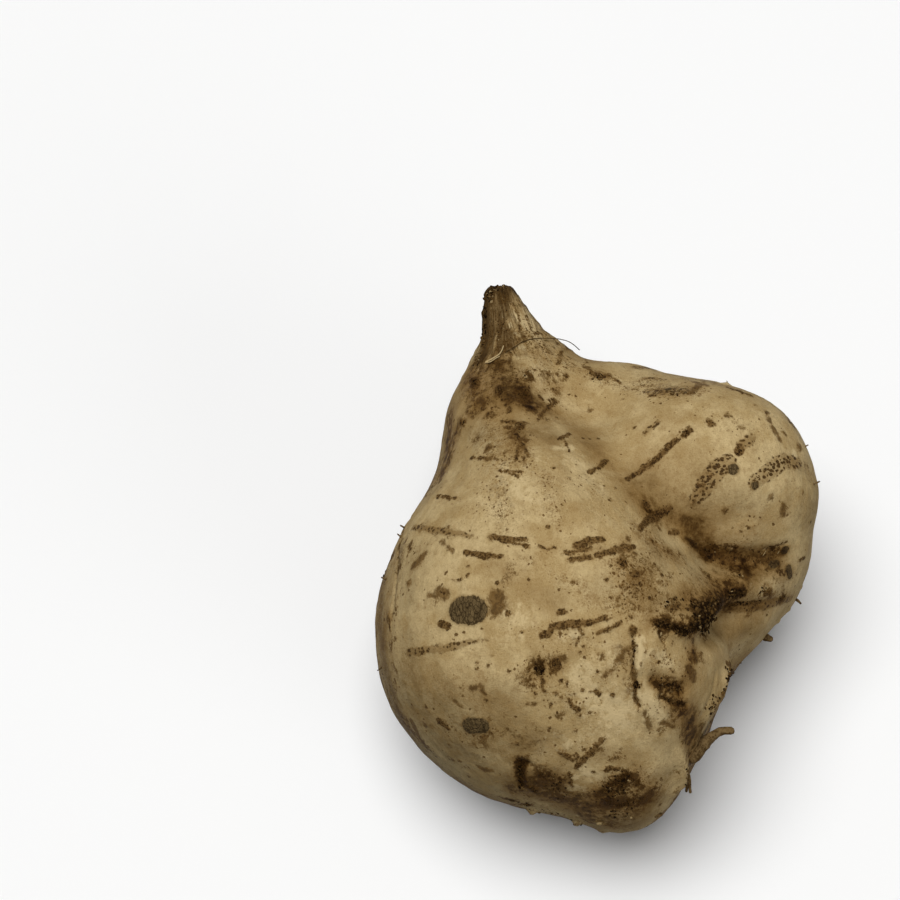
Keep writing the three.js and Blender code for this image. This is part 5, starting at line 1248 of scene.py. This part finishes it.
bsdf = g.node("ShaderNodeBsdfPrincipled")
g.put(bsdf.inputs["Base Color"], col)
rough = 0.62 + sk * 0.14 + so * 0.26 + sb * 0.05 + c0(n_sml, 0.14) + bk * 0.14 + rt * 0.15
g.put(bsdf.inputs["Roughness"], g.math("MINIMUM", rough, 1.0))
bsdf.inputs["Specular IOR Level"].default_value = 0.05
hgt = c0(n_fin, 0.20) + c0(n_sml, 0.20) + c0(n_rg2, 0.30) + c0(n_lng, 0.10) + sk * 0.14 * n_fin + so * crumb * 0.34 + soh * c0(n_rg2, 0.7) + bk * fib * 0.30 + neck * fib * 0.20 - cm * net * 0.12 - bd * g.sm(d5, 0.42, 0.25) * 0.05 - sb * g.sm(d6, 0.10, 0.02) * 0.10
bump = g.node("ShaderNodeBump")
bump.inputs["Strength"].default_value = 0.75
bump.inputs["Distance"].default_value = 0.001
g.put(bump.inputs["Height"], hgt)
g.t.links.new(bump.outputs[0], bsdf.inputs["Normal"])
outn = g.node("ShaderNodeOutputMaterial")
g.t.links.new(bsdf.outputs[0], outn.inputs[0])
mesh.materials.append(mat)

cmesh = bpy.data.meshes.new("soil_crumbs")
_v = np.concatenate(CV) * 0.001; _f = np.concatenate(CF)
cmesh.vertices.add(len(_v)); cmesh.vertices.foreach_set("co", _v.astype(np.float32).ravel())
cmesh.loops.add(len(_f) * 3); cmesh.loops.foreach_set("vertex_index", _f.astype(np.int32).ravel())
cmesh.polygons.add(len(_f)); cmesh.polygons.foreach_set("loop_start", np.arange(0, len(_f) * 3, 3, dtype=np.int32))
cmesh.update(calc_edges=True)
cmesh.attributes.new("shade", "FLOAT", "POINT").data.foreach_set("value", np.concatenate(CSH).astype(np.float32))
_side = math.ceil(math.sqrt(len(CUV)))
_uv = np.concatenate([(w * 0.44 + 0.5 + np.array([i % _side, i // _side])) / _side for i, w in enumerate(CUV)])
cmesh.uv_layers.new(name="OFBake").data.foreach_set("uv", _uv.astype(np.float32).ravel())
crumb_obj = bpy.data.objects.new("soil_crumbs", cmesh)
bpy.context.scene.collection.objects.link(crumb_obj)
cmat = bpy.data.materials.new("dry_soil"); cmat.use_nodes = True; cmat.node_tree.nodes.clear()
skin_g, g = g, Graph(cmat.node_tree)
ctc = g.node("ShaderNodeTexCoord")
csc = g.node("ShaderNodeVectorMath", operation="SCALE"); g.put(csc.inputs[0], Sig(g, ctc.outputs["Object"])); csc.inputs["Scale"].default_value = 1000.0
cp = Sig(g, csc.outputs[0])
cs = g.attr("shade") + (g.noise(cp, 0.5, 4, 0.7) - 0.5) * 0.9
cc = g.mix(g.sm(cs, 0.0, 0.42), lin(24, 13, 4), lin(92, 68, 35))
cc = g.mix(g.sm(cs, 0.45, 1.0), cc, lin(176, 152, 108))
cb = g.node("ShaderNodeBsdfPrincipled"); g.put(cb.inputs["Base Color"], cc)
cb.inputs["Roughness"].default_value = 0.95; cb.inputs["Specular IOR Level"].default_value = 0.04
cbump = g.node("ShaderNodeBump"); cbump.inputs["Strength"].default_value = 0.8; cbump.inputs["Distance"].default_value = 0.001
g.put(cbump.inputs["Height"], (g.noise(cp, 0.3, 3, 0.7) - 0.5) * 0.25); g.t.links.new(cbump.outputs[0], cb.inputs["Normal"])
co = g.node("ShaderNodeOutputMaterial"); g.t.links.new(cb.outputs[0], co.inputs[0])
cmesh.materials.append(cmat)
g = skin_g
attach(crumb_obj, "root")
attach(tuber, "root")
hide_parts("tuber")

# ------------------------------------------------------------------ floor, light, camera
bpy.ops.mesh.primitive_plane_add(size=6.0, location=(0, 0, -0.0002))
floor = bpy.context.active_object
floor.name = "floor"
fm = bpy.data.materials.new("floor_white"); fm.use_nodes = True
fb = fm.node_tree.nodes["Principled BSDF"]
fb.inputs["Base Color"].default_value = (0.93, 0.93, 0.925, 1); fb.inputs["Roughness"].default_value = 0.9; fb.inputs["Specular IOR Level"].default_value = 0.1
floor.data.materials.append(fm)
floor.visible_diffuse = False


def sun(name, toward, energy, angle, color=(1, 1, 1)):
    d = bpy.data.lights.new(name, "SUN"); d.energy = energy; d.angle = math.radians(angle); d.color = color
    o = bpy.data.objects.new(name, d); bpy.context.scene.collection.objects.link(o)
    o.rotation_euler = Vector(toward).to_track_quat("Z", "Y").to_euler()
    return o


sun("key_soft", (-0.20, 0.02, 0.975), 2.84, 50)
sun("fill_soft", (0.74, -0.65, 0.16), 0.95, 45)

world = bpy.data.worlds.new("studio"); bpy.context.scene.world = world
world.use_nodes = True
wt = world.node_tree; wt.nodes.clear()
wg = Graph(wt)
wc = wg.node("ShaderNodeTexCoord")
sepn = wg.node("ShaderNodeSeparateXYZ"); wt.links.new(wc.outputs["Generated"], sepn.inputs[0])
zf = wg.sm(Sig(wg, sepn.outputs[2]), 0.0, 0.9)
bg = wg.node("ShaderNodeBackground"); bg.inputs[0].default_value = (1, 1, 1, 1)
wg.put(bg.inputs[1], zf * 0.10 + 0.015)
wo = wg.node("ShaderNodeOutputWorld"); wt.links.new(bg.outputs[0], wo.inputs[0])

cam_data = bpy.data.cameras.new("camera"); cam_data.lens = 72.0; cam_data.sensor_width = 36.0
cam_data.clip_start = 0.01; cam_data.clip_end = 20.0
cam = bpy.data.objects.new("camera", cam_data); bpy.context.scene.collection.objects.link(cam)
_m = Matrix(((AXU[0], AXV[0], AXW[0], CAM[0] * 0.001), (AXU[1], AXV[1], AXW[1], CAM[1] * 0.001), (AXU[2], AXV[2], AXW[2], CAM[2] * 0.001), (0, 0, 0, 1)))
cam.matrix_world = _m
bpy.context.scene.camera = cam
bpy.context.scene.view_settings.view_transform = "Standard"
bpy.context.scene.view_settings.look = "None"
bpy.context.view_layer.update()
